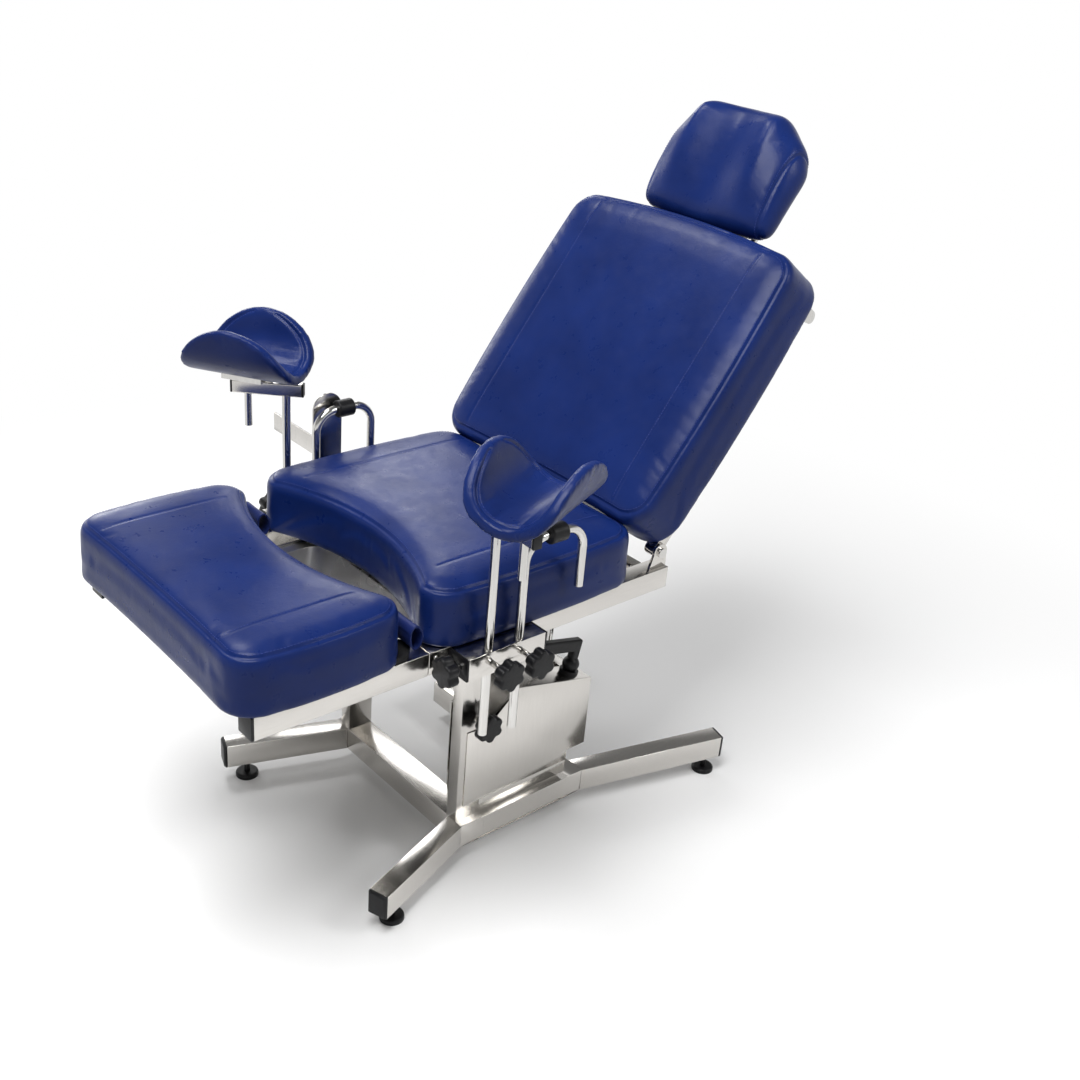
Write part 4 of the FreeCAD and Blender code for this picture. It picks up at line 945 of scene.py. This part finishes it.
def cradle_rim(inset):
    """Line just inside the cradle's rim, on the middle of its padded wall."""
    outer = CRADLE_RADIUS + CRADLE_WALL
    middle = CRADLE_RADIUS + CRADLE_WALL / 2
    rise = CRADLE_HEIGHT - CRADLE_SHOULDER
    bow = (rise * rise + CRADLE_HALF_LENGTH ** 2) / (2 * rise)
    bend = middle * CRADLE_HALF_ANGLE
    whole = bend + (CRADLE_HEIGHT - outer + outer * math.cos(CRADLE_HALF_ANGLE)) / math.sin(CRADLE_HALF_ANGLE)
    across = []
    for k in range(RIM_POINTS + 1):
        run = (whole - inset * 0.6) * (2 * k / RIM_POINTS - 1)
        turn = max(-CRADLE_HALF_ANGLE, min(CRADLE_HALF_ANGLE, run / middle))
        spare = abs(run) - bend if abs(run) > bend else 0.0
        x = middle * math.sin(turn) + math.copysign(spare, run) * math.cos(CRADLE_HALF_ANGLE)
        z = outer - middle * math.cos(turn) + spare * math.sin(CRADLE_HALF_ANGLE)
        across.append((x, z))
    half = []
    for x, z in across:
        if z <= CRADLE_SHOULDER:
            y = CRADLE_HALF_LENGTH
        else:
            fall = CRADLE_HEIGHT - z
            y = math.sqrt(max(bow * bow - (bow - fall) ** 2, 0.0))
        half.append(Vector((x, max(y - inset, 0.0), z)))
    line = half + [Vector((p.x, -p.y, p.z)) for p in reversed(half)]
    return line + line[:1]


def cradle_seam(tree, place, inset):
    """The rim line carried to the trough's inner face."""
    centre = Vector((0.0, 0.0, CRADLE_RADIUS + CRADLE_WALL))
    found = []
    for point in cradle_rim(inset):
        out = Vector((point.x, 0.0, point.z - centre.z))
        if point.z > centre.z:
            out = Vector((point.x, 0.0, 0.0))
        out.normalize()
        start = place @ (point - out * 0.030)
        hit, normal = tree.ray_cast(start, (place.to_3x3() @ out).normalized(), 0.045)[:2]
        if hit is not None:
            found.append((hit, normal))
    return found


cradles = (
    ("right", cradle_place(1, swivel=3.0, turn=25.0, ahead=0.024)),
    ("left", cradle_place(-1, swivel=48.0, turn=104.0, ahead=0.0022)),
)
for side_word, place in cradles:
    node_name = "holder_cradle_" + side_word
    pad = soft_copy(node_name, node_name + "_padding", CRADLE_VOXEL, rounds=22)
    seam = cradle_seam(surface(pad), place, CRADLE_SEAM_INSET)
    held = {i: CRADLE_HOLD_SHARE * w for i, w in near_lines(pad, [seam], CRADLE_HOLD_WIDTH).items()}
    back = place.inverted()
    for vertex in pad.data.vertices:
        local = back @ vertex.co
        if local.z < 0.006 and abs(local.y) < 0.045:
            held[vertex.index] = 1.0
    inflate(pad, held, CRADLE_SWELL)
    use_modifier(pad, "SUBSURF", levels=1, render_levels=1)
    seam = cradle_seam(surface(pad), place, CRADLE_SEAM_INSET)
    press_seams(pad, [seam], SEAM_DEPTH, SEAM_WIDTH)
    smooth(pad, 180.0)
    dress(pad, blue_leatherette)
    stand_for(pad, node_name)
    row = cradle_seam(surface(pad), place, CRADLE_STITCH_INSET)
    sew(node_name + "_stitches", [row], "cradle_" + side_word)


# ---------------------------------------------------------------- leatherette loops

LOOP_LENGTH = 0.062
LOOP_WALL = 0.0030
LOOP_EDGE = 0.0010
LOOP_LEAN = 0.0015


def leather_band(side):
    """Oval band of leatherette, slightly waisted, standing on the leg board."""
    low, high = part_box("leatherette_loops")
    middle_x = side * (high.x - LOOP_LENGTH / 2)
    middle_y = (low.y + high.y) / 2
    middle_z = (low.z + high.z) / 2
    leave_edit()
    bpy.ops.mesh.primitive_cylinder_add(vertices=48, radius=0.5, depth=LOOP_LENGTH, end_fill_type="NOTHING",
                                        rotation=(0.0, math.pi / 2, 0.0))
    band = bpy.context.object
    bpy.ops.object.transform_apply(location=False, rotation=True, scale=False)
    edit_all(band)
    bpy.ops.transform.resize(value=(1.0, high.y - low.y - 0.001, high.z - low.z - 0.001))
    bpy.ops.mesh.subdivide(number_cuts=2)
    leave_edit()
    pick_points(band, lambda point: point.co.z > 0.010)
    bpy.ops.transform.translate(value=(0.0, -LOOP_LEAN, 0.0))
    leave_edit()
    for vertex in band.data.vertices:
        waist = 1 - (2 * vertex.co.x / LOOP_LENGTH) ** 2
        vertex.co.y *= 1 - 0.10 * waist
        vertex.co.z *= 1 - 0.04 * waist
    use_modifier(band, "SOLIDIFY", thickness=LOOP_WALL, offset=-1.0, material_offset=1, material_offset_rim=0)
    round_edges(band, LOOP_EDGE)
    use_modifier(band, "SUBSURF", levels=1, render_levels=1)
    band.data.transform(Matrix.Translation((middle_x, middle_y, middle_z)))
    return band


bands = [leather_band(side) for side in (1, -1)]
take(bands[0])
bands[1].select_set(True)
bpy.ops.object.join()
loops = bands[0]
loops.name = "leatherette_bands"
smooth(loops, 60.0)
dress(loops, loop_leatherette, loop_lining)
stand_for(loops, "leatherette_loops")


# ---------------------------------------------------------------- studio

ROOM_LIGHT = 0.20
FLOOR_SIZE = 60.0
FLOOR_WHITE_FROM, FLOOR_WHITE_TO = 1.0, 2.3
WALL_WHITE_TO, WALL_ROOM_FROM = 0.10, 0.45


def seen_directly(tree):
    """One for what the camera sees straight, in metal or through glass, and nothing for the light it gives."""
    path = tree.nodes.new("ShaderNodeLightPath")
    total = path.outputs["Is Camera Ray"]
    for ray in ("Is Glossy Ray", "Is Transmission Ray"):
        more = tree.nodes.new("ShaderNodeMath")
        more.operation = "MAXIMUM"
        tree.links.new(total, more.inputs[0])
        tree.links.new(path.outputs[ray], more.inputs[1])
        total = more.outputs["Value"]
    return total


leave_edit()
bpy.ops.mesh.primitive_plane_add(size=FLOOR_SIZE, location=(0.0, 0.0, 0.0))
floor = bpy.context.object
floor.name = "floor"
floor_paint, floor_tree, floor_shader = new_finish("pale_floor")
floor_shader.inputs["Base Color"].default_value = (0.93, 0.93, 0.93, 1.0)
floor_shader.inputs["Roughness"].default_value = 0.8
floor_shader.inputs["Specular IOR Level"].default_value = 0.2
away = add(floor_tree, "ShaderNodeVectorMath")
away.operation = "LENGTH"
floor_tree.links.new(place_texture(floor_tree), away.inputs[0])
faded = add(floor_tree, "ShaderNodeMapRange", From_Min=FLOOR_WHITE_FROM, From_Max=FLOOR_WHITE_TO,
            To_Min=0.0, To_Max=1.0)
faded.interpolation_type = "SMOOTHSTEP"
floor_tree.links.new(away.outputs["Value"], faded.inputs["Value"])
glow = add(floor_tree, "ShaderNodeEmission", Color=(1.0, 1.0, 1.0, 1.0), Strength=1.0)
floor_mix = floor_tree.nodes.new("ShaderNodeMixShader")
shown = floor_tree.nodes.new("ShaderNodeMath")
shown.operation = "MULTIPLY"
floor_tree.links.new(faded.outputs["Result"], shown.inputs[0])
floor_tree.links.new(seen_directly(floor_tree), shown.inputs[1])
floor_tree.links.new(shown.outputs["Value"], floor_mix.inputs["Fac"])
floor_tree.links.new(floor_shader.outputs["BSDF"], floor_mix.inputs[1])
floor_tree.links.new(glow.outputs["Emission"], floor_mix.inputs[2])
floor_tree.links.new(floor_mix.outputs["Shader"], floor_tree.nodes["Material Output"].inputs["Surface"])
dress(floor, floor_paint)

world = bpy.data.worlds.new("studio_backdrop")
scene.world = world
world.use_nodes = True
world_tree = world.node_tree
backdrop = world_tree.nodes["Background"]
backdrop.inputs["Color"].default_value = (1.0, 1.0, 1.0, 1.0)
direction = world_tree.nodes.new("ShaderNodeTexCoord")
height = world_tree.nodes.new("ShaderNodeSeparateXYZ")
world_tree.links.new(direction.outputs["Generated"], height.inputs["Vector"])
upward = add(world_tree, "ShaderNodeMapRange", From_Min=WALL_WHITE_TO, From_Max=WALL_ROOM_FROM,
             To_Min=1.0, To_Max=ROOM_LIGHT)
upward.interpolation_type = "SMOOTHSTEP"
world_tree.links.new(height.outputs["Z"], upward.inputs["Value"])
level_mix = add(world_tree, "ShaderNodeMix", A=ROOM_LIGHT)
world_tree.links.new(seen_directly(world_tree), level_mix.inputs["Factor"])
world_tree.links.new(upward.outputs["Result"], level_mix.inputs["B"])
world_tree.links.new(level_mix.outputs["Result"], backdrop.inputs["Strength"])


def softbox(name, place, aim, size, power):
    """Square lamp turned towards a point."""
    lamp = bpy.data.lights.new(name, "AREA")
    lamp.shape = "SQUARE"
    lamp.size = size
    lamp.energy = power
    holder = bpy.data.objects.new(name, lamp)
    scene.collection.objects.link(holder)
    holder.location = place
    holder.rotation_euler = (Vector(aim) - Vector(place)).to_track_quat("-Z", "Y").to_euler()
    return holder


softbox("softbox_key", (0.4, -1.3, 3.7), (0.0, 0.0, 0.6), size=2.0, power=150.0)
softbox("softbox_left", (-1.8, -0.2, 3.5), (0.0, 0.1, 0.9), size=0.8, power=32.0)
softbox("softbox_right", (2.3, 1.5, 2.7), (0.0, 0.1, 0.7), size=0.9, power=26.0)
softbox("softbox_rear", (-2.7, 1.6, 2.2), (0.0, 0.0, 0.7), size=0.8, power=13.0)
softbox("softbox_side", (-3.0, 0.2, 1.3), (0.0, 0.1, 0.9), size=0.9, power=14.0)

CAMERA_PLACE = (1.74231, -1.465372, 1.724579)
CAMERA_AZIMUTH = math.radians(46.955)
CAMERA_PITCH = math.radians(26.948)
CAMERA_ROLL = math.radians(5.105)
LENS = 44.529
turn_cos, turn_sin = math.cos(CAMERA_AZIMUTH), math.sin(CAMERA_AZIMUTH)
dip_cos, dip_sin = math.cos(CAMERA_PITCH), math.sin(CAMERA_PITCH)
ahead = Vector((-turn_sin * dip_cos, turn_cos * dip_cos, -dip_sin))
level = Vector((turn_cos, turn_sin, 0.0))
above = level.cross(ahead)
right = level * math.cos(CAMERA_ROLL) + above * math.sin(CAMERA_ROLL)
up = above * math.cos(CAMERA_ROLL) - level * math.sin(CAMERA_ROLL)
view = bpy.data.cameras.new("photo_view")
view.lens = LENS
view.sensor_width = 36.0
view.sensor_fit = "HORIZONTAL"
camera = bpy.data.objects.new("photo_view", view)
scene.collection.objects.link(camera)
camera.matrix_world = Matrix.Translation(CAMERA_PLACE) @ Matrix((right, up, -ahead)).transposed().to_4x4()
scene.camera = camera
scene.view_settings.view_transform = "Standard"

drop(stitch_model)
